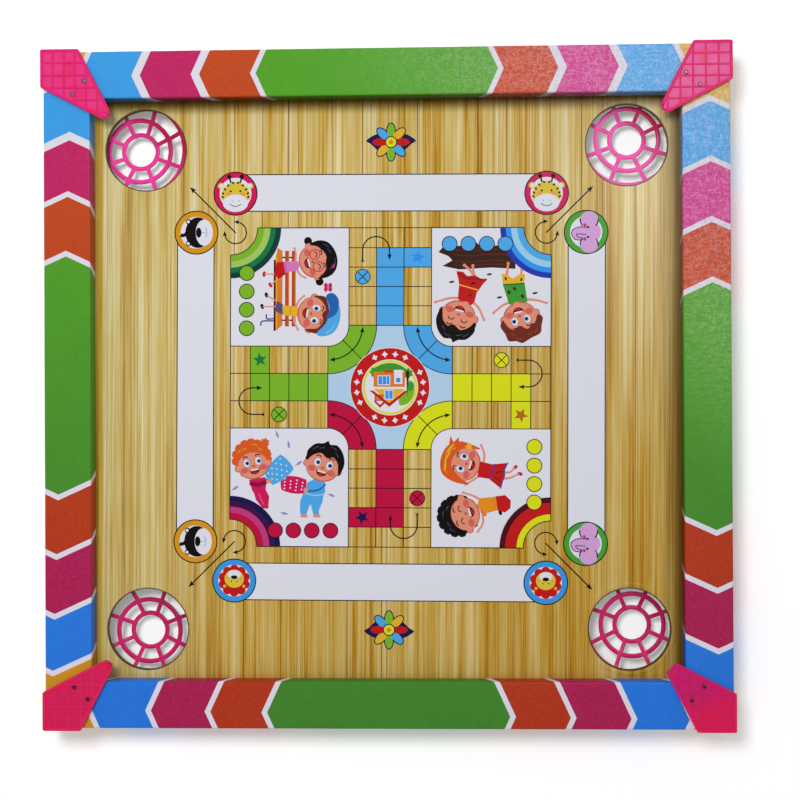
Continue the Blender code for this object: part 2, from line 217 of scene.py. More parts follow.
# Painted shadows of the rails on the print: the axis, where it starts and ends in metres, and the tint.
BAMBOO_RAIL_SHADOWS = (
    ("x", 0.2000, 0.2175, (0.50, 0.40, 0.19)),
    ("x", -0.2115, -0.2150, (0.84, 0.70, 0.28)),
    ("x", 0.2120, 0.2175, (0.50, 0.52, 0.60)),
    ("y", 0.2040, 0.2155, (0.48, 0.40, 0.20)),
    ("y", 0.2050, 0.2150, (0.42, 0.40, 0.32)),
    ("y", -0.2110, -0.2170, (0.90, 0.85, 0.80)),
)
# Tints of the bamboo print: painted shade multiplied in towards the near right, a painted sheen
# added at the far right, and a lift added at the left.
BAMBOO_NEAR_SHADE = (0.86, 0.77, 0.52)
BAMBOO_SHEEN = (0.16, 0.20, 0.18)
BAMBOO_LIFT = (0.005, 0.05, 0.05)
# The woven screen's mark below the hardboard, in radians for each metre.
SCREEN_WEAVE = 4200.0


def film_waves(shade, place):
    return shade.noise(place, 1400.0) * 0.10 + shade.noise(place, 90.0)


def film_gloss(shade, place):
    return shade.between(shade.noise(place, 60.0, 3.0), 0.24, 0.38)


def ink_material(name, code):
    """Ink under the laminate film, with the film's faint waviness and its uneven gloss."""
    shade = Shade("ink_" + name, tuple(PRINT_TONE * part for part in linear(code)), 0.3)
    place = shade.place()[3]
    shade.bump(film_waves(shade, place), FILM_RELIEF)
    shade.set(Specular_IOR_Level=FILM_SPECULAR, Roughness=film_gloss(shade, place))
    return shade.material


def bamboo_print(shade, x, y):
    """Straw streaks along the board, with painted shade to the near right and at the rails, and painted
    sheen at the far right.
    """
    tilted = y * math.tan(PRINT_TURN) + x

    def streaks(scale, along, detail, rough, offset):
        return shade.noise(shade.join(tilted * scale + offset, y * along, 0.0), 1.0, detail, rough)

    tone = sum(streaks(*streak) * share for share, streak in BAMBOO_TONES)
    straw = shade.bands(shade.step(tone, 0.49, 0.87), BAMBOO_COLOURS, "LINEAR")
    for start, end, strength, code, streak in BAMBOO_MARKS:
        mark = shade.step(streaks(*streak), start, end)
        straw = shade.mix(mark * strength, straw, code)
    # Painted shade, darker towards the near right.
    leaning = y * -1.1 + x
    straw = shade.mix(shade.step(leaning, -0.24, 0.36), straw, BAMBOO_NEAR_SHADE, "MULTIPLY")
    # Painted sheen at the far right.
    painted_sheen = shade.step(x, 0.11, 0.20) * shade.step(y, -0.16, 0.17)
    straw = shade.mix(painted_sheen * painted_sheen, straw, BAMBOO_SHEEN, "ADD")
    straw = shade.mix(shade.step(x, -0.10, -0.19), straw, BAMBOO_LIFT, "ADD")
    # Painted shadow cast by the rails along each edge of the print.
    for axis, start, end, tint in BAMBOO_RAIL_SHADOWS:
        near_rail = shade.step({"x": x, "y": y}[axis], start, end)
        straw = shade.mix(near_rail, straw, tint, "MULTIPLY")
    return straw


def hole_distance(shade, x, y):
    """How far outside the nearest pocket hole's edge, in metres."""
    off_x, off_y = abs(x) - HOLE_PLACE, abs(y) - HOLE_PLACE
    return shade.maths("SQRT", off_x * off_x + off_y * off_y) - HOLE_RADIUS


def pressed_ring(shade, x, y, from_hole):
    """The low ring that a net's flange presses up into the film round the two right-hand holes."""
    ring = shade.step(from_hole, 0.0012, 0.0030) - shade.step(from_hole, 0.0034, 0.0048)
    return ring * (shade.step(y, 0.1, -0.1) * 0.75 + 0.25) * (x > 0.0)


def panel_material():
    """The bamboo print on top, brown hardboard with a woven screen's mark at the edges and below."""
    shade = Shade("bamboo_print", "bfa563", 0.3, Specular_IOR_Level=FILM_SPECULAR)
    x, y, _, place = shade.place()
    from_hole = hole_distance(shade, x, y)
    # A thin dark ring at each hole's edge.
    dark_hole_rim = shade.step(from_hole, 0.0011, 0.0005)
    printed = shade.mix(dark_hole_rim * 0.85, bamboo_print(shade, x, y), "2a1408")
    pits = shade.noise(place, 700.0)
    hardboard = shade.mix(shade.step(pits, 0.35, 0.75), "5a3a22", "7d5a3a")
    facing_up = shade.split(shade.add("Normal", "NewGeometry"))[2]
    on_top = shade.step(facing_up, 0.5, 0.6)
    below = 1.0 - on_top

    screen = shade.maths("SINE", x * SCREEN_WEAVE) * shade.maths("SINE", y * SCREEN_WEAVE)
    top_height = pressed_ring(shade, x, y, from_hole) * 1.6 + film_waves(shade, place)
    shade.bump(top_height * on_top + (screen * 0.5 + pits) * below, FILM_RELIEF)
    shade.set(
        Base_Color=shade.mix(on_top, hardboard, printed),
        Roughness=below * 0.5 + film_gloss(shade, place),
    )
    return shade.material


def steel_material(name, bright, dull):
    shade = Shade(name, bright, 0.4, Metallic=1.0)
    specks = shade.noise(shade.place()[3], 1800.0, 3.0)
    shade.set(
        Base_Color=shade.mix(shade.step(specks, 0.4, 0.7), bright, dull),
        Roughness=shade.between(specks, 0.28, 0.55),
    )
    shade.bump(specks, 0.00004)
    return shade.material


def floor_material():
    white = (1.0, 1.0, 1.0)
    shade = Shade("pale_floor", white, 0.85, Specular_IOR_Level=0.0)
    grain = shade.noise(shade.place()[3], 240.0)
    shade.set(
        Base_Color=shade.mix(grain, "fdfdfd", "ffffff"), Emission_Color=white, Emission_Strength=0.10
    )
    return shade.material


# ---------------------------------------------------------------- flat drawing

# The film was laid a little turned and off the middle of the panel, and shrank along the board.
PRINT_TURN = -0.008
PRINT_SHIFT = (2.84, 0.54)
PRINT_SHRINK = 0.9954
# Each ink is a film from just above the panel up to its level. The films of one ink take turns in
# FILM_SHARES slightly different heights, so that tops that overlap don't lie in one plane.
FILM_BASE = 0.01
FILM_STEP = 0.02
FILM_SHARES = 60
SAME_POINT = 0.001

INK_CODES = {
    "black": "100e12",
    "white": "e2e3ee",
    "sky": "b3d1ec",
    "leaf_green": "7cb62b",
    "lime": "a3c764",
    "mid_green": "147a43",
    "bottle_green": "123e3a",
    "blue": "4fa9e8",
    "pale_blue": "9ad0ee",
    "bright_blue": "2e96f0",
    "royal_blue": "1f36b0",
    "crimson": "be1040",
    "rose": "c23a7e",
    "plum": "3a1247",
    "navy": "17144f",
    "yellow": "dbe01a",
    "red": "c3191a",
    "maroon": "4a0c12",
    "ring_crimson": "d01a58",
    "ring_orange": "d8961c",
    "ring_green": "4ba336",
    "ring_blue": "3d98e4",
    "orange": "e07c26",
    "brick": "bc451f",
    "amber": "e6b32a",
    "skin": "e49076",
    "skin_shade": "b8604c",
    "blush": "d8625c",
    "plum_red": "8c1240",
    "orange_shirt": "e8901e",
    "hair_black": "120c0c",
    "hair_brown": "6e2a1c",
    "hair_orange": "dd5a20",
    "bark": "3c1d14",
    "lilac": "d6a4da",
    "lavender": "8f90c4",
    "pink": "d578bd",
    "slate": "57517e",
    "cap_blue": "2763ae",
    "garden_green": "3c9a2d",
    "star_brown": "b5651c",
    "honey": "dcc23e",
    "apricot": "e4a052",
    "straw_yellow": "e2da4a",
}
inks = {}


def turned(points, turn):
    """Points turned about the origin, in degrees."""
    c, s = math.cos(math.radians(turn)), math.sin(math.radians(turn))
    return [(x * c - y * s, x * s + y * c) for x, y in points]


class Art:
    """A place to draw at: an origin, a turn in degrees, a size and a lowest level."""

    def __init__(self, x=0.0, y=0.0, turn=0.0, size=1.0, level=0):
        self.x, self.y, self.turn, self.size, self.level = x, y, turn, size, level

    def at(self, x, y, turn=0.0, size=1.0, level=0):
        """A place given in this one's own coordinates."""
        (here,) = turned([(x * self.size, y * self.size)], self.turn)
        return Art(
            self.x + here[0],
            self.y + here[1],
            self.turn + turn,
            self.size * size,
            self.level + level,
        )

    def ink(self, colour, level, *outlines):
        for outline in outlines:
            scaled = [(x * self.size, y * self.size) for x, y in outline]
            placed = [(x + self.x, y + self.y) for x, y in turned(scaled, self.turn)]
            inks.setdefault(colour, []).append((self.level + level, placed))

    def line(self, level, *points, width=None):
        self.ink("black", level, stroke(points, width or LINE))


def ellipse(x, y, wide, high, turn=0.0, steps=36):
    angles = [math.tau * i / steps for i in range(steps)]
    points = turned([(wide * math.cos(a), high * math.sin(a)) for a in angles], turn)
    return [(x + dx, y + dy) for dx, dy in points]


def circle(x, y, radius, steps=40):
    return ellipse(x, y, radius, radius, 0.0, steps)


def oblong(left, low, right, high):
    return [(left, low), (right, low), (right, high), (left, high)]


def polar(x, y, radius, angle):
    """The point that lies at a radius and an angle in degrees from a place."""
    angle = math.radians(angle)
    return (x + radius * math.cos(angle), y + radius * math.sin(angle))


def arc(x, y, radius, start, end, steps=24):
    return [polar(x, y, radius, start + (end - start) * i / steps) for i in range(steps + 1)]


def band(x, y, inner, outer, start, end, steps=24):
    return arc(x, y, outer, start, end, steps) + arc(x, y, inner, end, start, steps)


def hoop(x, y, inner, outer, steps=28):
    """A whole ring, as two half bands."""
    return [band(x, y, inner, outer, start, start + 180, steps) for start in (0, 180)]


def smooth(points, closed=True, steps=5):
    """A smooth curve through given points."""
    last = len(points) - 1
    found = []
    for i in range(last + closed):
        places = (i - 1, i, i + 1, i + 2)
        if closed:
            places = [place % (last + 1) for place in places]
        a, b, c, d = (Vector(points[min(max(place, 0), last)]) for place in places)
        for j in range(steps):
            t = j / steps
            squared, cubed = (2 * a - 5 * b + 4 * c - d) * t**2, (3 * b - a - 3 * c + d) * t**3
            found.append(tuple((2 * b + (c - a) * t + squared + cubed) / 2))
    if not closed:
        found.append(tuple(points[-1]))
    return found


def stroke(points, width, end_width=None):
    """A line of some width along open points with round ends, as one outline."""
    end_width = width if end_width is None else end_width
    spots = [Vector(p) for p in points]
    left, right = [], []
    for i, spot in enumerate(spots):
        before, after = spots[max(i - 1, 0)], spots[min(i + 1, len(spots) - 1)]
        along = (after - before).normalized()
        half = (width + (end_width - width) * i / (len(spots) - 1)) / 2
        side = Vector((-along.y, along.x)) * half
        left.append(tuple(spot + side))
        right.append(tuple(spot - side))
    ends = []
    for end, inner, across in ((spots[-1], spots[-2], end_width), (spots[0], spots[1], width)):
        heading = math.degrees(math.atan2(*(end - inner).yx))
        ends.append(arc(*end, across / 2, heading - 90, heading + 90, 6)[1:-1])
    tip, tail = ends
    return right + tip + left[::-1] + tail


def curve(points, width, end_width=None, steps=5):
    """A line of some width along a smooth curve."""
    return stroke(smooth(points, False, steps), width, end_width)


def star(x, y, radius, turn=90.0, points=5, waist=0.42):
    found = []
    for i in range(2 * points):
        reach = radius if i % 2 == 0 else radius * waist
        found.append(polar(x, y, reach, turn + 180 * i / points))
    return found


def rounded(corners):
    """An outline from (point, radius, pieces) corners, each one rounded by an arc."""
    points = []
    for i, (corner, radius, pieces) in enumerate(corners):
        here = Vector(corner)
        to_last = (Vector(corners[i - 1][0]) - here).normalized()
        to_next = (Vector(corners[(i + 1) % len(corners)][0]) - here).normalized()
        half = to_last.angle(to_next) / 2
        centre = here + (to_last + to_next).normalized() * radius / math.sin(half)
        first = here + to_last * radius / math.tan(half) - centre
        last = here + to_next * radius / math.tan(half) - centre
        start = math.degrees(math.atan2(first.y, first.x))
        sweep = math.degrees(math.atan2(last.y, last.x)) - start
        sweep = (sweep + 180) % 360 - 180
        points += arc(centre.x, centre.y, radius, start, start + sweep, pieces)
    return points


def arrow_head(x, y, heading, length=4.2, width=3.2):
    """A pointed head whose middle is at a point, looking along a heading."""
    shape = [(length / 2, 0), (-length / 2, width / 2), (-length / 3, 0), (-length / 2, -width / 2)]
    return [(x + dx, y + dy) for dx, dy in turned(shape, heading)]


def lobed(x, y, radius, lobes, depth, start=0.0, end=360.0, steps=6):
    """A round form with a scalloped edge."""
    total = lobes * steps
    found = []
    for i in range(total):
        turn = i / total
        reach = radius + depth * abs(math.sin(math.pi * lobes * turn)) - depth / 2
        found.append(polar(x, y, reach, start + (end - start) * turn))
    return found


# ---------------------------------------------------------------- the printed game

TRACK_HALF = 120.0
ARM_HALF = 30.9
COLUMN = 10.3
ROWS = (46.6, 61.3, 75.8, 90.4, 105.0, 120.0)
BEND = 46.45
BEND_INNER, BEND_OUTER = 15.6, 36.3
BAND_RADII = (20.4, 25.3, 29.9, 33.9, 38.0)
TOKEN_RADIUS = 5.55
TOKENS = (85.9, 72.1, 58.3, 44.3)
TOKEN_LINE = 107.8
CELL_TOKEN = (-20.6, 83.2)
STAR_RADIUS, STAR_TURN = 5.6, 80.0
# The turning arrow beside a cell's token: its tail, the start and middle of its bend, and its end.
TURN_TAIL, TURN_START, TURN_MIDDLE, TURN_END = 96.0, 100.0, 103.4, 99.5
TURN_RADIUS = 10.0
LANE = (132.6, 160.2)
LANE_END = 117.0
ROUNDEL_RADIUS, ROUNDEL_FACE, ROUNDEL_LINE = 16.2, 12.0, 0.8
ROUNDELS = (116.5, 145.9)
SIGHT_TAIL, SIGHT_HEAD = 116.4, 149.2
SIGHT_TURN_RADIUS = 8.2
HOME_DISCS = (("white", 3, 30.0, 72), ("red", 4, 29.5, 72), ("white", 5, 21.1, 60))
HOME_HOOP = (18.7, 20.6)
HOME_STARS = 25.1
GARDEN_RADIUS, GARDEN_LINE = 18.4, 12.6
# Line widths: the track's and tokens' outlines, then the lanes, the arrows and the sights.
LINE = 0.62
LANE_LINE = LINE + 0.1
ARROW_LINE = LINE + 0.25
SIGHT_LINE = LINE + 0.3

# Going round clockwise from the far side: the arm's colour and star, the colour of the bend and
# the tokens at the arm's left-hand corner, and that corner's bands from the inside out.
SIDES = (
    ("blue", "bright_blue", "leaf_green", ("leaf_green", "lime", "mid_green", "bottle_green")),
    ("yellow", "star_brown", "blue", ("blue", "pale_blue", "bright_blue", "royal_blue")),
    ("crimson", "navy", "yellow", ("yellow", "red", "red", "maroon")),
    ("leaf_green", "mid_green", "crimson", ("crimson", "rose", "plum", "navy")),
)


def print_token(art, colour, x, y, level):
    art.ink("black", level, circle(x, y, TOKEN_RADIUS + LINE / 2))
    art.ink(colour, level + 1, circle(x, y, TOKEN_RADIUS - LINE / 2))


def print_arm(art, colour, star_colour):
    """One arm of the track: its home column, star cell, cells, token ring and turning arrow."""
    art.ink(colour, 0, oblong(-COLUMN, ROWS[0], COLUMN, ROWS[4]))
    art.ink(colour, 0, oblong(COLUMN, ROWS[3], ARM_HALF, ROWS[4]))
    art.ink(star_colour, 1, star(2 * COLUMN, (ROWS[3] + ROWS[4]) / 2, STAR_RADIUS, STAR_TURN))
    for x, level in ((-COLUMN, 1), (COLUMN, 1), (-ARM_HALF, 2), (ARM_HALF, 2)):
        art.line(level, (x, ROWS[0]), (x, ROWS[5]))
    for y in ROWS:
        art.line(1, (-ARM_HALF, y), (ARM_HALF, y))
    x, y = CELL_TOKEN
    print_token(art, colour, x, y, 3)
    for turn in (45, 135):
        ends = turned([(-TOKEN_RADIUS + LINE, 0), (TOKEN_RADIUS - LINE, 0)], turn)
        art.line(5, *((x + dx, y + dy) for dx, dy in ends))
    bend = arc(x + TURN_RADIUS, TURN_MIDDLE, TURN_RADIUS, 180, 0, 20)
    head_x = x + 2 * TURN_RADIUS
    art.line(3, (x, TURN_TAIL), (x, TURN_START), *bend, (head_x, TURN_END), width=ARROW_LINE)
    art.ink("black", 3, arrow_head(head_x, TURN_END - 1.5, -90, 4.6, 3.4))
    art.ink("black", 3, arrow_head(x, TURN_TAIL - 0.4, 90, 2.8, 2.8))


def print_corner(art, colour, bands):
    """One corner of the track: the bend between two arms, and the white picture panel."""
    far = TRACK_HALF
    art.ink(colour, 1, band(-BEND, BEND, BEND_INNER, BEND_OUTER, -90, 0, 18))
    for radius in (BEND_INNER, BEND_OUTER):
        art.ink("black", 2, band(-BEND, BEND, radius - LINE / 2, radius + LINE / 2, -90, 0, 18))
    art.line(2, *(polar(-BEND, BEND, radius, -45) for radius in (BEND_INNER, BEND_OUTER)))
    middle = (BEND_INNER + BEND_OUTER) / 2
    art.line(3, *arc(-BEND, BEND, middle, -82, -8, 18), width=ARROW_LINE)
    for angle, heading in ((-83, -173), (-7, 83)):
        art.ink("black", 3, arrow_head(*polar(-BEND, BEND, middle, angle), heading, 4.4, 3.5))

    notch = arc(-far, far, BAND_RADII[0], 0, -90, 14)
    bend = arc(-BEND, BEND, BEND_INNER, -90, 0, 10)
    panel = notch + [(-far, ARM_HALF)] + bend + [(-ARM_HALF, far)]
    art.ink("white", 1, panel[::-1])
    for inner, outer, shade in zip(BAND_RADII, BAND_RADII[1:], bands):
        art.ink(shade, 11, band(-far, far, inner, outer, -90, 0, 18))
    reach = far - BAND_RADII[0]
    art.line(12, *notch)
    art.line(12, (-far, reach), (-far, ARM_HALF))
    art.line(12, (-reach, far), (-ARM_HALF, far))
    art.line(2, (-far, ARM_HALF), (-BEND, ARM_HALF))
    art.line(2, (-ARM_HALF, BEND), (-ARM_HALF, far))
    for y in TOKENS:
        print_token(art, colour, -TOKEN_LINE, y, 13)


def print_lane(art, ring_colour, animal):
    """One carrom base line: a white lane between two roundels, each with an animal's head."""
    low, high = LANE
    art.ink("white", 0, oblong(-LANE_END, low, LANE_END, high))
    for y in (low, high):
        art.line(1, (-LANE_END, y), (LANE_END, y), width=LANE_LINE)
    for side in (-1, 1):
        roundel = art.at(side * ROUNDELS[0], ROUNDELS[1])
        roundel.ink("black", 2, circle(0, 0, ROUNDEL_RADIUS + ROUNDEL_LINE / 2, 56))
        roundel.ink(ring_colour, 3, circle(0, 0, ROUNDEL_RADIUS - ROUNDEL_LINE / 2, 56))
        roundel.ink("white", 4, circle(0, 0, ROUNDEL_FACE, 48))
        animal(roundel.at(0, 0, level=5))


def print_sight(art):
    """The diagonal arrow out towards a pocket, and the turning arrow round its tail."""
    tail, head = (-SIGHT_TAIL, SIGHT_TAIL), (-SIGHT_HEAD, SIGHT_HEAD)
    art.line(1, tail, head, width=SIGHT_LINE)
    art.ink("black", 1, arrow_head(*head, 135, 5.0, 3.9))
    art.line(2, *arc(*tail, SIGHT_TURN_RADIUS, 84, -174, 30), width=ARROW_LINE)
    for angle, heading in ((86, 176), (-176, 94)):
        art.ink("black", 2, arrow_head(*polar(*tail, SIGHT_TURN_RADIUS, angle), heading, 3.8, 3.2))


def print_home(art):
    """The round home in the middle: a ring of four-pointed stars round a small house."""
    for colour, level, radius, steps in HOME_DISCS:
        art.ink(colour, level, circle(0, 0, radius, steps))
    art.ink("straw_yellow", 6, *hoop(0, 0, *HOME_HOOP))
    for turn in range(0, 360, 90):
        for step in (-27, -9, 9, 27):
            ((x, y),) = turned([(0, HOME_STARS)], turn + step)
            art.ink("white", 5, star(x, y, 2.5, turn + step + 90, 4, 0.55))
    top = math.degrees(math.asin(GARDEN_LINE / GARDEN_RADIUS))
    art.ink("garden_green", 6, arc(0, 0, GARDEN_RADIUS, top, 180 - top, 12))
    for x, y, radius, lobes, depth in ((-11.0, 11.4, 3.6, 7, 1.2), (-5.6, 12.4, 2.4, 6, 1.0),
                                       (13.2, 10.6, 3.4, 7, 1.2)):
        art.ink("garden_green", 6, lobed(x, y, radius, lobes, depth))
    tree = [(13.4, -12), (17.2, -7), (18.4, -1), (17.4, 4), (12.6, 5), (12, -3), (7, -8), (7.6, -13.4)]
    art.ink("leaf_green", 6, smooth(tree))
    art.ink("garden_green", 7, smooth([(13, 3.4), (17, 3.2), (17.4, -1), (15, -3), (13.4, -0.4)]))
    art.ink("bark", 8, smooth([(12.0, 11.6), (14.4, 11.6), (13.7, 4), (13.3, -7), (12.8, 2)]))
    for colour, level, *corners in (
        ("orange", 7, -12.2, 0.2, 11.2, 11.6),
        ("brick", 8, -4.4, 11.0, 2.6, 13.2),
        ("white", 8, -12.2, -1.2, 11.4, 0.4),
        ("brick", 8, -11.4, -10.2, -5.0, -5.4),
        ("orange", 9, -10.6, -9.6, -5.8, -6.2),
        ("white", 8, -9.3, 1.6, 0.3, 9.0),
        ("white", 8, 3.2, 2.6, 9.3, 13.2),
        ("white", 9, -4.0, -9.2, 2.6, -1.9),
        ("bright_blue", 9, -8.6, 2.2, -5.9, 8.4),
        ("bright_blue", 9, -5.5, 2.2, -2.8, 8.4),
        ("bright_blue", 9, -2.4, 2.2, -0.4, 8.4),
        ("bright_blue", 9, 4.6, 3.8, 7.8, 7.2),
        ("bright_blue", 10, -3.4, -8.6, -0.9, -2.5),
        ("bright_blue", 10, -0.5, -8.6, 2.0, -2.5),
    ):
        art.ink(colour, level, oblong(*corners))
    art.ink("amber", 7, [(-12.2, -1.2), (-0.5, -12.0), (11.4, -1.2)])
    roof = [(-15.4, -2.4), (-12.4, -2.6), (-0.5, -11.8), (10.8, -2.6), (14.0, -2.4), (-0.5, -14.6)]
    dormer = [(-12.2, -10.4), (-7.4, -15.4), (-2.6, -10.6), (-4.2, -10.2), (-7.4, -13.2), (-10.8, -10.0)]
    art.ink("red", 9, roof)
    art.ink("red", 8, dormer)


def print_rosette(art):
    """The plain rosette on each player's end of the panel."""
    petals = ("red", "amber", "leaf_green", "blue")
    for i in range(8):
        petal = art.at(0, 0, 45 * i)
        petal.ink("navy", 1, ellipse(8.2, 0, 6.6, 3.7))
        petal.ink(petals[i % 4], 2, ellipse(8.2, 0, 5.8, 2.9))
    for side in (-1, 1):
        leaf = [(side * 9, -6), (side * 18.4, -1.5), (side * 15, 1.5), (side * 9, 6)]
        art.ink("navy", 0, smooth(leaf))
    for colour, level, radius, steps in (("navy", 3, 4.6, 40), ("yellow", 4, 3.8, 40),
                                         ("orange", 5, 1.6, 20)):
        art.ink(colour, level, circle(0, 0, radius, steps))


# ---------------------------------------------------------------- animals


def giraffe(art):
    for side in (-1, 1):
        art.ink("honey", 0, circle(side * 11, 5.8, 2.4, 20))
        art.ink("white", 1, circle(side * 10.6, 5.7, 1.6, 16))
        art.ink("black", 0, stroke([(side * 3.2, 7), (side * 4.7, 12.4)], 1.2))
        art.ink("black", 0, circle(side * 4.8, 12.8, 1.6, 14))
        art.ink("black", 2, circle(side * 3.6, 1.8, 0.8, 12))
        art.ink("apricot", 2, ellipse(side * 5.3, -0.3, 1.9, 1.4, 0, 16))
        for x, y in ((8.2, 3.2), (9.6, 0.2), (10, -2.6), (5.6, 6.2), (2, 8.2)):
            art.ink("bark", 2, ellipse(side * x * 0.97, y, 1.1, 0.75, 40 * side, 10))
        art.ink("slate", 3, circle(side * 2.5, -5.6, 0.4, 8))
    art.ink("honey", 1, smooth([(-10.4, -4), (-8.4, 4.6), (0, 9), (8.4, 4.6), (10.4, -4), (0, -8)]))
    art.ink("white", 2, ellipse(0, -7.2, 9.5, 6.6))
    art.ink("black", 3, stroke(arc(0, -4, 5.6, -135, -45, 10), 0.5))


def bear(art):
    for side in (-1, 1):
        art.ink("hair_black", 0, circle(side * 8.2, 6, 2.1, 20))
        art.ink("white", 1, circle(side * 8.3, 6.3, 1.2, 16))
    art.ink("hair_black", 1, ellipse(0, -1.2, 11.6, 9.6))
    art.ink("white", 2, ellipse(0, -5.9, 9.9, 6.5))
    art.ink("hair_black", 3, ellipse(0, -1.7, 3.8, 2.1, 0, 24))
    art.ink("lavender", 3, stroke([(0, -3.8), (0, -6.8)], 0.5))
    art.ink("lavender", 3, stroke(arc(0, -3, 5, -135, -45, 10), 0.5))
    art.ink("hair_black", 1,
            [(1.2, 7.8), (-0.8, 9.6), (-0.6, 11.4), (-3.4, 12.6), (-3.4, 9.8), (-2.6, 7.8)])


def elephant(art):
    for side in (-1, 1):
        art.ink("lilac", 1, ellipse(side * 9.2, 2.2, 6.4, 6.8))
        for heading in (90 + 17 * side, 270 - 17 * side):
            fold = arc(side * 9.2, 2.2, 6.6, heading - 22, heading + 22, 8)
            art.ink("plum", 4, stroke(fold, 1.1, 0.7))
        art.ink("black", 4, ellipse(side * 3.7, 1.4, 0.8, 1, 0, 12))
        art.ink("rose", 4, ellipse(side * 5.2, -1, 1.3, 1.2, 0, 16))
    art.ink("lilac", 2, ellipse(0, 3.6, 7.6, 7.2), ellipse(0, -1.4, 6, 5))
    trunk = [(-3.6, 0.3), (-3.6, -6), (-1.4, -10.1), (1.8, -10.7), (5.4, -8.3), (6, -3.6)]
    curl = [(4.6, -2.6), (3.6, -6), (2.1, -7.4), (1.4, -6), (1.8, -0.2)]
    art.ink("lilac", 3, smooth(trunk, False)[::-1])
    art.ink("plum", 4, curve(trunk, 0.6), curve(curl, 0.6))


def lion(art):
    art.ink("red", 0, circle(0, 0, 9.6, 24))
    for turn in range(0, 360, 36):
        ((x, y),) = turned([(0, 8.7)], turn)
        art.ink("red", 0, circle(x, y, 3.4, 16))
    for side in (-1, 1):
        art.ink("amber", 1, circle(side * 7.2, 4.2, 1.2, 16))
        art.ink("black", 3, circle(side * 2.2, 0.6, 0.5, 10))
        art.ink("apricot", 3, ellipse(side * 5.2, -1.4, 1, 0.9, 0, 12))
    art.ink("honey", 2, ellipse(0, -1.4, 7.3, 6.8))
    art.ink("white", 3, smooth([(-4.9, -4.4), (-3.6, -7), (0, -8), (3.6, -7), (4.9, -4.4), (3.2, -2.2),
                                (0, -1.4), (-3.2, -2.2)]))
    art.ink("black", 4, ellipse(0, -2.6, 2.5, 1.4, 0, 20))


# ---------------------------------------------------------------- children

# Hair over the forehead, for a head about 20 mm across whose middle is the origin.
HAIR_SHAPES = {
    "fringe": [(-10.9, -1.5), (-12, 4), (-9.4, 9.8), (-3, 12.8), (4, 12.6), (9.6, 9.4), (12, 4),
               (11.2, -2.5), (9.8, 1.2), (7.4, 4.2), (2.2, 5.4), (-1.6, 7.2), (-5.4, 5), (-8.6, 2.6)],
    "cropped": [(-10.8, -3), (-11.8, 3), (-9.6, 8.4), (0, 10.6), (9.8, 8.4), (11.8, 2), (10.8, -5),
                (9.4, -1), (8.4, 3.2), (3.6, 5.4), (-1, 4.2), (-4.6, 6.2), (-9, 3.4)],
    "swept": [(-10.4, 0.5), (-12, 5), (-8.6, 10.6), (-3.8, 12.4), (-1.2, 14.6), (0.6, 12.8),
              (5, 13.4), (9.8, 9.6), (12.6, 3), (11.2, -4.6), (9.6, -0.5), (8.4, 3.4),
              (5.6, 6.2), (1.4, 4), (-3.6, 6.2), (-8, 3.4)],
    "tousled": [(-10.8, -1), (-13.4, 1.4), (-11.6, 6), (-9.6, 10.6), (-3.4, 12.2), (2.4, 14),
                (5.8, 12), (10.4, 10.8), (11.4, 6.2), (13.2, 1), (10.6, -2.4), (9.2, 3),
                (5, 4.8), (1.6, 3.2), (-2.8, 6.2), (-6.4, 3.6), (-8.8, 4.6)],
    "bob": [(-11.4, -8), (-12.6, 2), (-9.4, 10.4), (-1, 13.4), (8, 11.4), (12.6, 4), (11.6, -8),
            (9.8, -3), (8.6, 2.4), (3.4, 7), (-1.6, 7.2), (-5.8, 3.8), (-9.2, -2)],
}
CAP = [(-12.6, 4.6), (-11.4, 10.8), (-5, 14.8), (3, 15.4), (10, 12.4), (13, 5.6), (11.2, 3),
       (4.6, 7.4), (-4, 8)]
PEAK = [(1.6, 7.4), (-5.5, 8.2), (-12.2, 4.6), (-14.8, 8.4), (-11, 12.8), (-3, 13)]


def head(art, hair, shine, style, eyes_open=True):
    """A simple round laughing head, upright along its own +Y."""
    curly = style == "curly"
    back = lobed(0, 2.4, 12.6, 15, 1.8, steps=4) if curly else ellipse(0, 1.6, 11.9, 11)
    art.ink(hair, 3, back)
    for side in (-1, 1):
        art.ink("skin_shade", 4, circle(side * 10.2, -2.4, 2.3, 16))
        art.ink("skin", 5, circle(side * 10.1, -2.3, 1.9, 16))
    art.ink("skin_shade", 4, ellipse(0, -2.2, 10.4, 9))
    art.ink("skin", 5, ellipse(-0.2, -2, 9.9, 8.5))
    for side in (-1, 1):
        art.ink("blush", 6, ellipse(side * 6.3, -4.4, 2.5, 1.9, 0, 18))
        if eyes_open:
            art.ink("skin_shade", 6, ellipse(side * 3.9, 0.2, 2.4, 2.9, 0, 20))
            art.ink("white", 7, ellipse(side * 3.9, 0.1, 2.1, 2.6, 0, 20))
            art.ink("cap_blue", 8, circle(side * 3.9 + 0.4, 0, 1.3, 14))
            art.ink("black", 9, circle(side * 3.9 + 0.4, 0, 0.75, 12))
        else:
            art.ink("bark", 7, stroke(arc(side * 4, -0.6, 1.9, 15, 165, 8), 0.6))
        art.ink("bark", 7, stroke(arc(side * 4.2, 2.6, 1.9, 40, 140, 6), 0.7))
    art.ink("skin_shade", 6, ellipse(0.2, -2.6, 1.1, 0.8, 0, 12))
    art.ink("maroon", 6, arc(0.3, -4.6, 3.5, 180, 360, 12))
    art.ink("white", 7, oblong(-2.4, -5.6, 3, -4.6))
    art.ink("red", 7, ellipse(0.3, -6.9, 1.9, 0.9, 0, 14))
    if curly:
        crown = lobed(0, 2.4, 12.6, 8, 1.8, -8, 188, 5)
        art.ink(hair, 6, crown + arc(0, -1.2, 9.4, 150, 30, 8))
    else:
        art.ink(hair, 6, smooth(HAIR_SHAPES[style], steps=4))
    for start, reach in ((38, 9.6), (62, 11), (104, 9.4), (126, 10.8)):
        art.ink(shine, 7, stroke(arc(0, 0.8, reach, start, start + 20, 6), 0.5, 0.2))


GARMENT_ROUND = 0.6
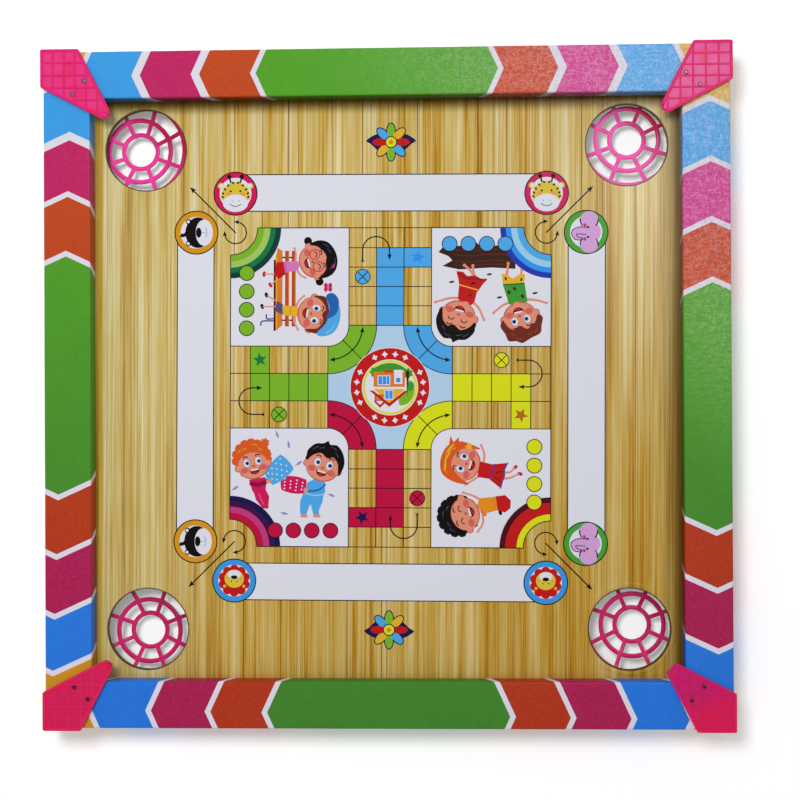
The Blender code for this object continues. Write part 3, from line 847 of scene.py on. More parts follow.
# Shares of a limb's width: how wide it is at its hand or foot, and that end's radius.
LIMB_TAPER, LIMB_END = 0.7, 0.55
SHOE = (1.3, 2.1)
PILLOW_BULGE = 0.32
PILLOW_STEPS = 8
PILLOW_SPOT_ROWS = 4
PILLOW_SPOT_RADIUS = 0.62


def garment(art, colour, level, *corners):
    art.ink(colour, level, rounded([(corner, GARMENT_ROUND, 3) for corner in corners]))


def limbs(art, width, *paths):
    for path in paths:
        art.ink("skin", 2, curve(path, width, LIMB_TAPER * width, steps=4))
        art.ink("skin", 3, circle(*path[-1], LIMB_END * width, 12))


def shoes(art, colour, *places):
    for x, y, turn in places:
        art.ink(colour, 3, ellipse(x, y, *SHOE, turn, 16))


def pillow(art, colour, *corners):
    """A spotted pillow with full sides and pointed corners."""
    outline = []
    for i, (x, y) in enumerate(corners):
        end_x, end_y = corners[(i + 1) % 4]
        for j in range(PILLOW_STEPS):
            share = j / PILLOW_STEPS
            bulge = PILLOW_BULGE * share * (1 - share)
            on_side = (x + (end_x - x) * share, y + (end_y - y) * share)
            outline.append((on_side[0] + (end_y - y) * bulge, on_side[1] - (end_x - x) * bulge))
    art.ink(colour, 4, outline)
    first, second, third, fourth = (Vector(corner) for corner in corners)
    rows = PILLOW_SPOT_ROWS
    for row in range(rows):
        for column in range(rows - row % 2):
            across, along = (column + 0.5 + 0.5 * (row % 2)) / rows, (row + 0.5) / rows
            spot = first.lerp(second, across).lerp(fourth.lerp(third, across), along)
            art.ink("white", 5, circle(*spot, PILLOW_SPOT_RADIUS, 12))


def bench_picture(art):
    """Top to the right: two children on a garden bench."""
    art.ink("orange", 1, [(-87.6, 42.4), (-82.4, 46.6), (-82.4, 102.5), (-85.8, 105), (-87.6, 98)])
    art.ink("amber", 2, oblong(-87.2, 44, -86.4, 98))
    art.ink("maroon", 1, oblong(-89, 42.4, -87.6, 96))
    for left in (-80.4, -75.4):
        art.ink("brick", 1, oblong(left, 45.7, left + 3, 102.7))
        art.ink("orange", 2, oblong(left + 2.1, 46.2, left + 2.8, 102.2))
        for y in (97.7, 50.4):
            art.ink("black", 1, stroke([(left - 2, y), (left, y)], 1))
    for path in ([(-89.2, 49.9), (-97.6, 49.6), (-98.6, 46.6)],
                 [(-89, 51.6), (-94, 51.4), (-94.4, 54.6)]):
        art.ink("slate", 1, curve(path, 1.1))
    limbs(art, 1.2, [(-86.6, 85.2), (-95.2, 85.2)], [(-84, 83), (-90.6, 77.6)])
    limbs(art, 1.2, [(-86.4, 64.6), (-93.4, 68.6)], [(-87.6, 60.8), (-96.6, 60.6)])
    limbs(art, 1.7, [(-73, 94), (-72.4, 99.4), (-73.4, 104.6)],
          [(-71.4, 88.4), (-69, 84.6), (-65.2, 82.4)])
    limbs(art, 1.7, [(-72, 60), (-70.2, 64.8), (-66, 68.8)], [(-73.4, 54), (-73.4, 49), (-70.6, 43.4)])
    shoes(art, "red", (-96.2, 85.2, -10), (-91.4, 77, 30))
    shoes(art, "navy", (-94.4, 69.4, 20), (-97.6, 60.8, 20))
    garment(art, "red", 3, (-87, 94.1), (-80.8, 94.6), (-79.4, 85.6), (-85.2, 81.4), (-88.4, 85))
    garment(art, "pink", 4, (-81.6, 94.3), (-71, 95), (-69.6, 92), (-70.6, 88.2), (-80.4, 86))
    art.ink("rose", 5, stroke([(-80.4, 93.6), (-79.6, 86.8)], 0.5))
    garment(art, "slate", 3, (-86.4, 65.2), (-81.6, 61.8), (-81.6, 54.4), (-88.4, 57.4))
    garment(art, "amber", 4, (-82.4, 61.6), (-71, 60.6), (-69.8, 57), (-71.2, 53.2), (-82, 54.2))
    art.ink("orange", 5, stroke([(-76.6, 60.6), (-76.4, 54.2)], 0.6))
    girl = art.at(-56.8, 95.4, -74, 1.19)
    for side in (-1, 1):
        girl.ink("hair_black", 4, circle(side * 13.4, -1.8, 2.5, 18))
    head(girl, "hair_black", "slate", "fringe", False)
    girl.ink("red", 9, *hoop(-4, 0, 2.9, 3.4), *hoop(4, 0, 2.9, 3.4))
    girl.ink("rose", 8, ellipse(6.4, 9.4, 1.7, 0.6, -40, 12))
    boy = art.at(-57.6, 55, -100, 1.21)
    head(boy, "hair_brown", "brick", "cropped")
    boy.ink("blue", 8, smooth(CAP, steps=4))
    boy.ink("pale_blue", 9, stroke(arc(0, 0.6, 13.2, 38, 74, 8), 0.6, 0.2))
    boy.ink("cap_blue", 9, smooth(PEAK, steps=4))
    art.ink("ring_crimson", 1, *(ellipse(-48.1 + dx, 75.2 + dy, 2.1, 1.5, 40 * dx * dy, 14)
                                 for dx in (-1.6, 1.6) for dy in (-1.3, 1.3)))
    art.ink("lavender", 2, ellipse(-48.1, 75.2, 0.6, 2.3, 0, 12))


def log_picture(art):
    """Upside down: two children in front of a fallen log."""
    log = [(35.6, 101.6), (38.8, 105.2), (46, 106.2), (58, 106.6), (64.3, 108.6), (66.6, 106.4),
           (87, 106.6), (93, 103), (93, 89), (75, 90), (51, 88.6), (38.6, 91.2), (46, 95.4), (43, 98.6)]
    art.ink("bark", 1, log)
    for y in (103.4, 99.6, 95, 92):
        art.ink("hair_brown", 2, curve([(48, y), (60, y - 0.8), (76, y + 0.6), (90, y - 0.6)], 0.5))
    for x, y in ((45.6, 79.2), (73.6, 84.9), (81.2, 67.6), (107.6, 70.8)):
        art.ink("bark", 1, ellipse(x, y, 2, 0.8, 10, 14))
    limbs(art, 2.2, [(62.8, 83), (61.6, 87.6), (61.3, 91.4)], [(61.6, 84.6), (58.6, 88.6), (55, 91.8)])
    limbs(art, 2, [(51.6, 67), (43.8, 67), (33.4, 64)], [(60.6, 64.8), (66, 59.2), (69.6, 50.8)])
    limbs(art, 2.2, [(86.4, 83.6), (87.6, 93)], [(97, 83.4), (97.8, 88.4)])
    limbs(art, 2, [(89.6, 64.4), (83.4, 61.4), (76.8, 56)], [(100.6, 66), (108.4, 65.6), (116.2, 63.4)])
    garment(art, "red", 3, (48.9, 87.4), (50.5, 81.4), (51.4, 75.8), (64.9, 71.8), (69, 77.8),
            (72.8, 81.6), (67.2, 81.8), (63, 84.2), (57.1, 83.6), (54.1, 86.8))
    art.ink("maroon", 4, curve([(50.6, 85.6), (54, 83), (58, 81.4), (63.4, 81.8), (69, 80.2)], 0.6))
    garment(art, "red", 4, (51.1, 77), (64.7, 73), (62.6, 64.4), (60.4, 61.8), (52, 63.4), (50.2, 67.2))
    art.ink("amber", 5, stroke([(50.9, 77.2), (64.9, 73.2)], 0.9))
    art.ink("bark", 5, ellipse(61.6, 78.2, 2, 0.8, 20, 12), ellipse(59.4, 69.4, 1.2, 0.7, 30, 12))
    art.ink("skin", 4, ellipse(55.8, 62.4, 2.8, 2.2, 0, 16))
    garment(art, "amber", 3, (82.6, 85.3), (83.8, 76.4), (99.2, 75.8), (100.2, 84.8), (96.8, 85.6),
            (91, 81.6), (86, 85.4))
    art.ink("bark", 4, ellipse(85.8, 81.6, 0.8, 1.4, 20, 12), ellipse(97.4, 81, 0.8, 1.4, -20, 12))
    garment(art, "garden_green", 4, (83.6, 77.4), (99.8, 78.6), (102, 64.4), (97.6, 62.2), (88.4, 62.2))
    art.ink("bottle_green", 5, stroke([(84, 77), (99.6, 78)], 0.7))
    for x, y in ((88.2, 71.4), (98.4, 68.4), (92.4, 74)):
        art.ink("bark", 5, ellipse(x, y, 1.1, 1.6, 30, 12))
    art.ink("skin", 4, ellipse(94.2, 62.2, 2.8, 2, 0, 16))
    head(art.at(50, 51.6, -196, 1.23), "hair_black", "slate", "swept", False)
    head(art.at(97.2, 50.6, -166, 1.21), "hair_brown", "brick", "tousled")


def pillow_picture(art):
    """Upright: two children with pillows, and feathers in the air."""
    for x, y, turn in ((-86.6, -37.6, 110), (-78, -45.2, 100), (-70.2, -58.9, 215),
                       (-118, -77.8, 215), (-81, -96.8, 170), (-45.6, -83, 160)):
        feather = art.at(x, y, turn)
        feather.ink("lavender", 1, ellipse(0, 0, 2.5, 0.9, 0, 14))
        feather.ink("lavender", 1, stroke(arc(2, 1.6, 1.9, 200, 320, 6), 0.4))
    garment(art, "ring_crimson", 2, (-104.8, -79), (-95.4, -78.6), (-92.6, -84), (-93.2, -93.4),
            (-97.6, -93), (-102.6, -86.6))
    art.ink("pink", 3, curve([(-100.4, -82), (-98.6, -86.4), (-96.6, -90)], 0.5))
    garment(art, "ring_crimson", 3, (-107.9, -71.6), (-95.4, -69.4), (-94.6, -73.4), (-95.4, -80.2),
            (-105, -80.8))
    art.ink("plum_red", 4, curve([(-106, -74.6), (-100, -75.2), (-94.2, -72.4)], 3.2))
    pillow(art, "blue", (-84.2, -52.4), (-95.7, -67.4), (-90, -75.5), (-74.2, -63.2))
    art.ink("skin", 6, ellipse(-93, -72.6, 2, 1.5, 0, 16))
    head(art.at(-105.2, -58.4, 12, 1.14), "hair_orange", "amber", "curly")
    art.ink("hair_orange", 6, lobed(-96, -43.6, 3, 7, 1.2))
    garment(art, "blue", 3, (-66.6, -80.6), (-51.4, -80.6), (-52.6, -88), (-55.4, -95), (-54.7, -97.6),
            (-59.2, -98), (-61.6, -88.6), (-64.6, -97.6), (-69.2, -97.6), (-69.4, -88))
    garment(art, "blue", 4, (-64, -73.6), (-58, -70.4), (-51.4, -71.6), (-50.4, -80), (-52.4, -84.4),
            (-66.4, -83))
    art.ink("pale_blue", 5, curve([(-65.4, -81.6), (-58, -83.2), (-51.4, -82)], 0.9))
    art.ink("cap_blue", 6, curve([(-51.4, -75), (-56, -78.4), (-62.8, -79.4)], 2.6))
    art.ink("blue", 7, curve([(-51.8, -74.4), (-56, -77.6), (-62.8, -78.6)], 1.5))
    for x in (-66.4, -56.8):
        art.ink("skin", 4, ellipse(x, -98.6, 3, 1.2, 0, 16))
    art.ink("skin", 4, ellipse(-56, -71.2, 2.4, 1.8, 0, 16))
    pillow(art, "ring_crimson", (-83, -69), (-83.4, -79), (-66.6, -81.6), (-64.6, -71.4))
    art.ink("skin", 7, ellipse(-65.1, -79.2, 1.7, 2, 0, 16))
    head(art.at(-51.8, -59.4, -17, 1.2), "hair_black", "slate", "swept")


def jumping_picture(art):
    """Top to the left: two children jumping."""
    limbs(art, 1.7, [(84.4, -65), (89.4, -65.6), (93, -62.6)], [(83.6, -70.4), (90, -69.6), (96, -66.9)])
    limbs(art, 1.8, [(70, -59.4), (70.8, -51.8), (68.4, -45.4)],
          [(68.2, -67.6), (63, -71), (56.8, -74.8)])
    limbs(art, 1.8, [(68.6, -86.6), (62.5, -83.2), (55, -80.8)],
          [(69.4, -95.4), (70, -103.4), (66.1, -110)])
    shoes(art, "crimson", (93.8, -61.8, -50), (97.4, -66.6, 70))
    shoes(art, "hair_black", (82.8, -95.6, 20))
    garment(art, "red", 3, (77, -59.6), (87.8, -58.5), (85.8, -63.6), (85.4, -68.4), (84.2, -72.4),
            (82.8, -77.4), (74.6, -70.8))
    art.ink("maroon", 4, stroke([(79.6, -66), (84.6, -64.6)], 0.5),
            stroke([(78.6, -69), (82.4, -72)], 0.5))
    garment(art, "red", 4, (67.4, -57.4), (77.6, -59.8), (75.2, -70.6), (65.6, -69))
    art.ink("royal_blue", 5, stroke([(78.2, -59.6), (75.4, -70.8)], 0.9))
    hem = [(88.2, -58.4), (85.8, -63.8), (85.8, -68.2), (84.2, -72.6), (83, -77.6)]
    art.ink("royal_blue", 5, curve(hem, 0.8, steps=3))
    head(art.at(54.4, -58.6, 73, 1.22), "hair_orange", "amber", "bob")
    for x, y, turn in ((45.4, -47.6, 48), (43.4, -53.2, 60), (41.6, -60.4, 86)):
        art.ink("amber", 9, ellipse(x, y, 4.6, 0.8, turn, 14))
    art.ink("hair_orange", 3, [(44.6, -44.6), (45.4, -38.2), (48, -43), (51.8, -39.2), (52, -45)])
    art.ink("amber", 9, lobed(59.4, -46.4, 2.2, 5, 1.4))
    garment(art, "red", 3, (78.6, -83.6), (86.4, -82.6), (90.6, -86.6), (90.2, -92.4), (86.4, -95.6),
            (80.4, -94))
    garment(art, "orange_shirt", 4, (67.2, -85), (79.4, -83.8), (80.8, -93.8), (70.2, -96.8),
            (65.4, -90.8))
    art.ink("orange", 5, stroke([(78, -84.4), (79.2, -93.6)], 0.6),
            stroke([(69, -94.6), (71.6, -97.4)], 2.2))
    head(art.at(54.2, -97.6, 106, 1.2), "hair_black", "slate", "curly", False)


# ---------------------------------------------------------------- the whole print

# Each side's picture and how far it is moved in its panel, its animal, and the animal's ring.
DRAWINGS = (
    (bench_picture, (1.5, 0.0), giraffe, "ring_crimson"),
    (log_picture, (0.4, 0.0), elephant, "ring_green"),
    (jumping_picture, (-0.2, 2.1), lion, "ring_blue"),
    (pillow_picture, (2.2, 1.7), bear, "ring_orange"),
)
FAR_ROSETTE, NEAR_ROSETTE = (0.3, 184.4, 180), (-0.2, -182.0)


def print_everything():
    sheet = Art()
    sheet.ink("sky", 0, oblong(-BEND, -BEND, BEND, BEND))
    for i, (picture, shift, animal, ring_colour) in enumerate(DRAWINGS):
        colour, star_colour, corner_colour, bands = SIDES[i]
        side = sheet.at(0, 0, -90 * i)
        print_arm(side, colour, star_colour)
        print_corner(side, corner_colour, bands)
        print_lane(side, ring_colour, animal)
        print_sight(side)
        picture(sheet.at(*shift, level=1))
    print_home(sheet)
    print_rosette(sheet.at(*FAR_ROSETTE))
    print_rosette(sheet.at(*NEAR_ROSETTE))


def signed_area(outline):
    pairs = zip(outline[-1:] + outline[:-1], outline)
    return sum(last[0] * here[1] - here[0] * last[1] for last, here in pairs) / 2


def build_inks():
    """One thin film object for each ink. Where films overlap, the higher level covers the lower."""
    for name, shapes in inks.items():
        builder = bmesh.new()
        for number, (level, outline) in enumerate(shapes):
            placed = turned([(x, y * PRINT_SHRINK) for x, y in outline], math.degrees(PRINT_TURN))
            placed = [(x + PRINT_SHIFT[0], y + PRINT_SHIFT[1]) for x, y in placed]
            placed = [p for i, p in enumerate(placed) if math.dist(p, placed[i - 1]) > SAME_POINT]
            if signed_area(placed) < 0:
                placed.reverse()
            base = PLAY_SURFACE + FILM_BASE * MM
            share = number % FILM_SHARES / FILM_SHARES * 0.9
            top = base + FILM_STEP * (level + 1 + share) * MM
            low, high = (
                [builder.verts.new((x * MM, y * MM, z)) for x, y in placed] for z in (base, top)
            )
            builder.faces.new(low[::-1])
            builder.faces.new(high)
            join_rings(builder, [low, high])
        film = add_piece("print_" + name, builder, ink_material(name, INK_CODES[name]))


# ---------------------------------------------------------------- pieces


def link_new(name, data):
    made = bpy.data.objects.new(name, data)
    bpy.context.scene.collection.objects.link(made)
    return made


def link_mesh(name, builder, material):
    """A new object from a bmesh."""
    mesh = bpy.data.meshes.new(name)
    builder.to_mesh(mesh)
    builder.free()
    mesh.materials.append(material)
    return link_new(name, mesh)


def join_rings(builder, rings):
    """A skin between each ring of corners and the next. A ring may be one corner repeated."""
    for before, after in zip(rings, rings[1:]):
        for i in range(len(before)):
            corners = (before[i - 1], before[i], after[i], after[i - 1])
            builder.faces.new(list(dict.fromkeys(corners)))


def add_piece(name, builder, material, smooth_angle=None):
    """A new piece from a bmesh, riding on the one body."""
    piece = link_mesh(name, builder, material)
    if smooth_angle is not None:
        piece.data.shade_smooth()
        piece.data.set_sharp_from_angle(angle=math.radians(smooth_angle))
    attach(piece, "root")
    return piece


def add_stand_in(node, ending, builder, material, smooth_angle=None):
    """A new piece that stands for a node of the frame."""
    bmesh.ops.recalc_face_normals(builder, faces=builder.faces)
    piece = add_piece(node + ending, builder, material, smooth_angle)
    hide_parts(node)
    return piece


# ---------------------------------------------------------------- rails

RAIL_WIDTH = 35.0
RAIL_HEIGHT = RAIL_TOP / MM
RAIL_ROUND = 1.3
RAIL_SHARP = 0.25
REBATE_EDGE = RAIL_WIDTH - 10.0
REBATE_TOP = PLAY_SURFACE / MM + 0.3
MITRE_GAP = 0.22
RAIL_STATIONS = 90
PAPER_WAVE = 0.12
PAPER_WAVE_LENGTH = 26.0
PAPER_TURNED_UNDER = 9.0
PAPER_SPECULAR = 0.15
CREASE_DEPTH = 0.0017
CREASE_LINE = 0.045
INNER_WALL_SHADE = (0.44, 0.44, 0.46)
STRIPE = 4.7
STRIPE_SLOPE = 0.46
STRIPE_SPAN = 270.0
# Green, orange, magenta, blue, yellow and the white of the stripes, as lit and shaded copies: paler with
# painted light towards the far side of the board, with painted glare at its far right corner, and darker
# with painted shade towards the near side.
LIT_PRINT = ("49911c", "af3f14", "ae1b57", "328ed1", "c19d2e", "cbc8d4")
GLARE_PRINT = ("4f9620", "b8420f", "c23684", "4a9cd8", "cba94a", "cbc8d4")
SHADED_PRINT = ("377620", "a12b0a", "9a1046", "1b69cc", "b98210", "cbc8d6")

# For each rail: the turn that points its outer face away from the board's middle, the places of its
# white chevrons along the board to each side of the middle, how far their points are from the outer
# edge at the middle and how much further per millimetre along, and how crinkled the paper is.
RAILS = {
    "far_rail": (
        0, (-228.9, -185.6, -141.5, -97.9), (86.2, 130.7, 175.3, 219.7), (17.2, -0.0059), 0.6,
    ),
    "near_rail": (
        180, (-221.9, -178.3, -134.5, -91.3), (91.8, 135.8, 179.7, 223.4), (10.7, -0.0148), 0.25,
    ),
    "left_rail": (
        90, (-212.8, -169.1, -125.8, -81.6), (100.6, 144.2, 187.8, 231.4), (13.1, 0.035), 0.25,
    ),
    "right_rail": (
        -90, (-239.1, -195.1, -151.2, -107.9), (77.1, 121.9, 165.4, 209.2), (13.0, 0.0095), 1.0,
    ),
}


def rail_profile():
    """The rail cut through: (distance in from the outer face, height), run round its outline."""
    r, sharp = RAIL_ROUND, RAIL_SHARP
    width, height = RAIL_WIDTH, RAIL_HEIGHT
    outline = [(sharp, 0), (0, sharp), (0, height * 0.5)]
    outline += arc(r, height - r, r, 180, 90, 4)
    outline += [(width * 0.25, height), (width * 0.5, height), (width * 0.75, height)]
    outline += arc(width - r, height - r, r, 90, 0, 4)
    outline += [(width, REBATE_TOP + 3.0), (width, REBATE_TOP + sharp), (width - sharp, REBATE_TOP)]
    outline += [(REBATE_EDGE, REBATE_TOP), (REBATE_EDGE, sharp), (REBATE_EDGE - sharp, 0)]
    return outline


def build_rail(name):
    """A mitred bar from end to end, its papered faces sunk a little by the paper's waves."""
    turn, left, right, point_line, crinkle = RAILS[name]
    low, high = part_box(name)
    length = max(high.x - low.x, high.y - low.y) / MM
    reach = max(abs(v) for v in ((low.y, high.y) if turn % 180 == 0 else (low.x, high.x))) / MM
    profile = rail_profile()
    builder = bmesh.new()
    rings = []
    for i in range(RAIL_STATIONS + 1):
        share = 2 * i / RAIL_STATIONS - 1
        ring = []
        for across, height in profile:
            along = share * (length / 2 - across - MITRE_GAP)
            ((x, y),) = turned([(along, reach - across)], turn)
            wave = noise.noise(Vector((x, y, height)) / PAPER_WAVE_LENGTH) * PAPER_WAVE
            papered = height > 0.1 and not (across >= REBATE_EDGE and height <= REBATE_TOP)
            sink = abs(wave) * papered * (1 - abs(share) ** 8)
            inner = across > RAIL_WIDTH / 2
            flat_top = height > RAIL_HEIGHT - 0.01
            dx = 0 if flat_top else (-sink if inner else sink)
            ((x, y),) = turned([(along, reach - across - dx)], turn)
            ring.append(builder.verts.new((x * MM, y * MM, (height - sink * flat_top) * MM)))
        rings.append(ring)
    join_rings(builder, rings)
    builder.faces.new(rings[0][::-1])
    builder.faces.new(rings[-1])
    material = paper_material(name, turn, reach, left, right, point_line, crinkle)
    add_stand_in(name, "_wrapped", builder, material, 35)


def chevron_pattern(shade, along, wrap, point_line, place):
    """The place along the rail, drawn back from the chevrons' points and a little ragged."""
    start, drift = point_line
    point = along * drift + start
    back = abs(wrap - point) * STRIPE_SLOPE
    side = shade.maths("SIGN", along)
    ragged = shade.noise(place, 900.0, 1.0)
    return side * back + along + shade.between(ragged, -0.15, 0.15)


def paper_material(name, turn, reach, left, right, point_line, crinkle):
    """Printed paper over the rail, with bare timber where the paper stops underneath."""
    shade = Shade(name + "_paper", LIT_PRINT[0], 0.35, Specular_IOR_Level=PAPER_SPECULAR)
    x, y, z, place = shade.place()
    along, across = (x / MM, y / MM) if turn % 180 == 0 else (y / MM, x / MM)
    height = z / MM
    outward = -1.0 if turn in (0, -90) else 1.0
    inward = across * outward + reach
    below_top = RAIL_HEIGHT - height
    past_middle = inward > RAIL_WIDTH / 2
    wrap = below_top * (past_middle * 2.0 - 1.0) + inward
    pattern = chevron_pattern(shade, along, wrap, point_line, place) * (0.5 / STRIPE_SPAN) + 0.5

    def printed_in(codes):
        *colours, white = codes
        stops = [(0.0, colours[-1])]
        for centres, sequence in ((left, colours[-2::-1]), (right, colours[1:])):
            for centre, code in zip(centres, sequence):
                for where, shown in ((centre - STRIPE / 2, white), (centre + STRIPE / 2, code)):
                    stops.append((0.5 + 0.5 * where / STRIPE_SPAN, shown))
        return shade.bands(pattern, stops)

    # Painted light: lit print to the far side, shaded print to the near side, painted glare at the far
    # right.
    farness = shade.step(y, -0.24, 0.24)
    printed = shade.mix(farness, printed_in(SHADED_PRINT), printed_in(LIT_PRINT))
    printed = shade.mix(shade.step(x + y, 0.16, 0.33), printed, printed_in(GLARE_PRINT))
    # Painted shade on the inner walls of the far and right rails.
    if name.startswith(("far", "right")):
        inner_wall_shade = past_middle * shade.step(below_top, 0.8, 3.0)
        printed = shade.mix(inner_wall_shade, printed, INNER_WALL_SHADE, "MULTIPLY")
    mottle = shade.noise(place, 55.0, 3.0)
    printed = shade.mix(shade.between(mottle, 0.0, 0.16), printed, "ffffff", "SOFT_LIGHT")
    specks = shade.step(shade.noise(place, 2600.0, 1.0), 0.60, 0.72)
    printed = shade.mix(specks * 0.07, printed, "ffffff")

    long_creases = shade.noise(shade.join(x * 0.4, y, z), 330.0)
    cross_creases = shade.noise(shade.join(x, y * 0.4, z), 300.0)
    far_right = shade.step(x + y, 0.16, 0.42)

    def painted_crease_lines(level):
        """Fine lines where the creases pass a level, at the board's far right only, for painted shade
        and painted highlights.
        """
        lines = [
            shade.step(abs(crease - level), CREASE_LINE, 0.0) for crease in (long_creases, cross_creases)
        ]
        return shade.maths("MAXIMUM", *lines) * far_right

    # At the far right: a painted sheen, then painted shade and painted highlights along the creases.
    printed = shade.mix(far_right * 0.03, printed, "f4ddf4")
    printed = shade.mix(painted_crease_lines(0.56) * 0.12, printed, "3a1040")
    printed = shade.mix(painted_crease_lines(0.50) * 0.16, printed, "fbeefb")

    grain = shade.noise(shade.join(along * 0.02, inward * 0.55, height), 1.0, 4.0, 0.6)
    timber = shade.mix(grain, "b98c54", "dcb984")
    under = (height < 0.5) * (inward > PAPER_TURNED_UNDER)
    rebate = (height < REBATE_TOP + 0.4) * (inward > REBATE_EDGE - 0.6)
    bare = shade.maths("MAXIMUM", under, rebate)
    smoothness = shade.between(shade.noise(place, 40.0, 3.0), 0.30, 0.42)
    shade.set(Base_Color=shade.mix(bare, printed, timber), Roughness=bare * 0.4 + smoothness)
    shade.bump((long_creases + cross_creases) * (far_right * crinkle + 0.04), CREASE_DEPTH)
    return shade.material


# ---------------------------------------------------------------- nets

# Rings of the net: inner and outer radius, and drop below the flange, all in millimetres.
NET_RINGS = ((11.2, 14.5, 6.7), (21.7, 25.1, 4.0), (33.0, 37.5, 0.0))
NET_SPOKES = 8
NET_SPOKE_HALF = 1.5
NET_WALL = 1.8
NET_ARC_PIECES = 7
NET_EDGE_ROUND = 0.4
NET_SPECULAR = 0.2


def net_levels():
    """Circles of the net from the inside out: radius, drop, and whether a ring starts there.

    The last is None on a spoke between two rings, and False at a ring's outer edge.
    """
    levels = []
    for i, (inner, outer, drop) in enumerate(NET_RINGS):
        levels += [(inner, drop, True), (outer, drop, False)]
        if i + 1 < len(NET_RINGS):
            next_inner, _, next_drop = NET_RINGS[i + 1]
            for share in (0.33, 0.67):
                radius = outer + (next_inner - outer) * share
                levels.append((radius, drop + (next_drop - drop) * share, None))
    return levels


def build_net(corner, code, deep_code):
    """Three rings and eight spokes as one moulding with soft edges."""
    node = corner + "_pocket_net"
    low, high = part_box(node)
    middle = (low + high) / 2
    builder = bmesh.new()
    pitch = math.tau / NET_SPOKES
    rows = []
    for radius, drop, ring in net_levels():
        row = []
        for spoke in range(NET_SPOKES):
            centre = pitch * (spoke + 0.5)
            half = math.asin(NET_SPOKE_HALF / radius)
            angles = [centre - half, centre + half]
            if ring is not None:
                gap = pitch - 2 * half
                angles += [centre + half + gap * j / NET_ARC_PIECES for j in range(1, NET_ARC_PIECES)]
            row.append([])
            for a in angles:
                x = middle.x + radius * MM * math.cos(a)
                y = middle.y + radius * MM * math.sin(a)
                row[-1].append(builder.verts.new((x, y, high.z - drop * MM)))
        rows.append((row, ring))
    for (inside, ring), (outside, _) in zip(rows, rows[1:]):
        for spoke in range(NET_SPOKES):
            if ring:
                near, far = sum(inside, []), sum(outside, [])
                start = spoke * len(inside[0])
                spans = range(start, start + len(inside[0]))
            else:
                near, far = inside[spoke][:2], outside[spoke][:2]
                spans = [0]
            for j in spans:
                k = (j + 1) % len(near)
                builder.faces.new((near[j], far[j], far[k], near[k]))
    material = moulded_material(node, code, deep_code, middle)
    piece = add_stand_in(node, "_moulded", builder, material)
    piece.visible_diffuse = False
    piece.data.shade_smooth()
    if piece.data.polygons[0].normal.z < 0:
        piece.data.flip_normals()
    wall = piece.modifiers.new("wall", "SOLIDIFY")
    wall.thickness = NET_WALL * MM
    wall.offset = -1
    soft = piece.modifiers.new("soft edges", "BEVEL")
    soft.width = NET_EDGE_ROUND * MM
    soft.segments = 2
    soft.limit_method = "ANGLE"
    soft.angle_limit = math.radians(40)


def moulded_material(name, code, deep_code, middle):
    """Glossy pink plastic, with painted shade on the side towards the far right."""
    shade = Shade(name + "_plastic", code, 0.3, Specular_IOR_Level=NET_SPECULAR)
    x, y, _, place = shade.place()
    cloud = shade.between(shade.noise(place, 70.0, 3.0), -0.012, 0.012)
    # Painted shade: darker pink on the side towards the far right.
    deep = shade.step(x + y - (middle.x + middle.y) + cloud, -0.008, 0.038)
    texture = shade.noise(place, 900.0)
    shade.bump(texture * 0.3 + shade.noise(place, 120.0), 0.00025)
    shade.set(
        Base_Color=shade.mix(deep, code, deep_code), Roughness=shade.between(texture, 0.3, 0.45)
    )
    return shade.material


# ---------------------------------------------------------------- guards

# For each corner: the turn that carries the guard drawn for the far left corner to it.
GUARD_TURNS = {"far_left": 0, "far_right": -90, "near_right": 180, "near_left": 90}
GUARD_SIDE = 28.5
GUARD_APEX = 58.9
# How far the tip reaches from the outer corner: where it is trimmed, and past every cell elsewhere.
GUARD_TRIMMED = {"near_right": 67.0}
GUARD_UNTRIMMED = 76.0
GUARD_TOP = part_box("far_left_guard")[1].z / MM
GUARD_RIBS = RAIL_HEIGHT + 0.3
GUARD_FLOOR = (GUARD_RIBS + 0.9, GUARD_TOP - 0.55)
GUARD_CELL = (8.3, 9.3)
GUARD_CELL_START = 1.0
GUARD_CELL_ROWS = 7
GUARD_SMALLEST_CELL = 4.0
GUARD_RIB = 1.3
GUARD_RIM = 2.2
# The cells' floor is the plate's outline drawn in: its size and its shift.
GUARD_FLOOR_SIZE, GUARD_FLOOR_SHIFT = 0.985, 0.5
# The skirt: its thickness, how far along the sides it reaches, and its top.
GUARD_SKIRT = 1.2
GUARD_SKIRT_END = GUARD_SIDE - 2.0
GUARD_SKIRT_TOP = GUARD_RIBS + 0.8
GUARD_EDGE = Vector((GUARD_APEX - GUARD_SIDE, GUARD_APEX)).normalized()
GUARD_SPECULAR = 0.08


def clipped(outline, limits):
    """A convex outline cut back to where normal . point <= reach, for each (normal, reach)."""
    for normal, reach in limits:
        kept = []
        for i, point in enumerate(outline):
            last = outline[i - 1]
            here_over = normal[0] * point[0] + normal[1] * point[1] - reach
            last_over = normal[0] * last[0] + normal[1] * last[1] - reach
            if (here_over > 0) != (last_over > 0):
                share = last_over / (last_over - here_over)
                kept.append(tuple(a + (b - a) * share for a, b in zip(last, point)))
            if here_over <= 0:
                kept.append(point)
        outline = kept
    return outline


def guard_outline(trim):
    """The plate from above, its outer corner at the origin and its tip along +X +Y."""
    tip = [((GUARD_APEX, GUARD_APEX), 5.0, 10)]
    if trim:
        over = GUARD_APEX * math.sqrt(2) - trim
        back = over / (GUARD_EDGE.x + GUARD_EDGE.y) * math.sqrt(2)
        near = (GUARD_APEX - GUARD_EDGE.x * back, GUARD_APEX - GUARD_EDGE.y * back)
        tip = [(near, 0.8, 3), (near[::-1], 0.8, 3)]
    return rounded([((0, 0), 1.5, 4), ((GUARD_SIDE, 0), 2.0, 4), *tip, ((0, GUARD_SIDE), 2.0, 4)])


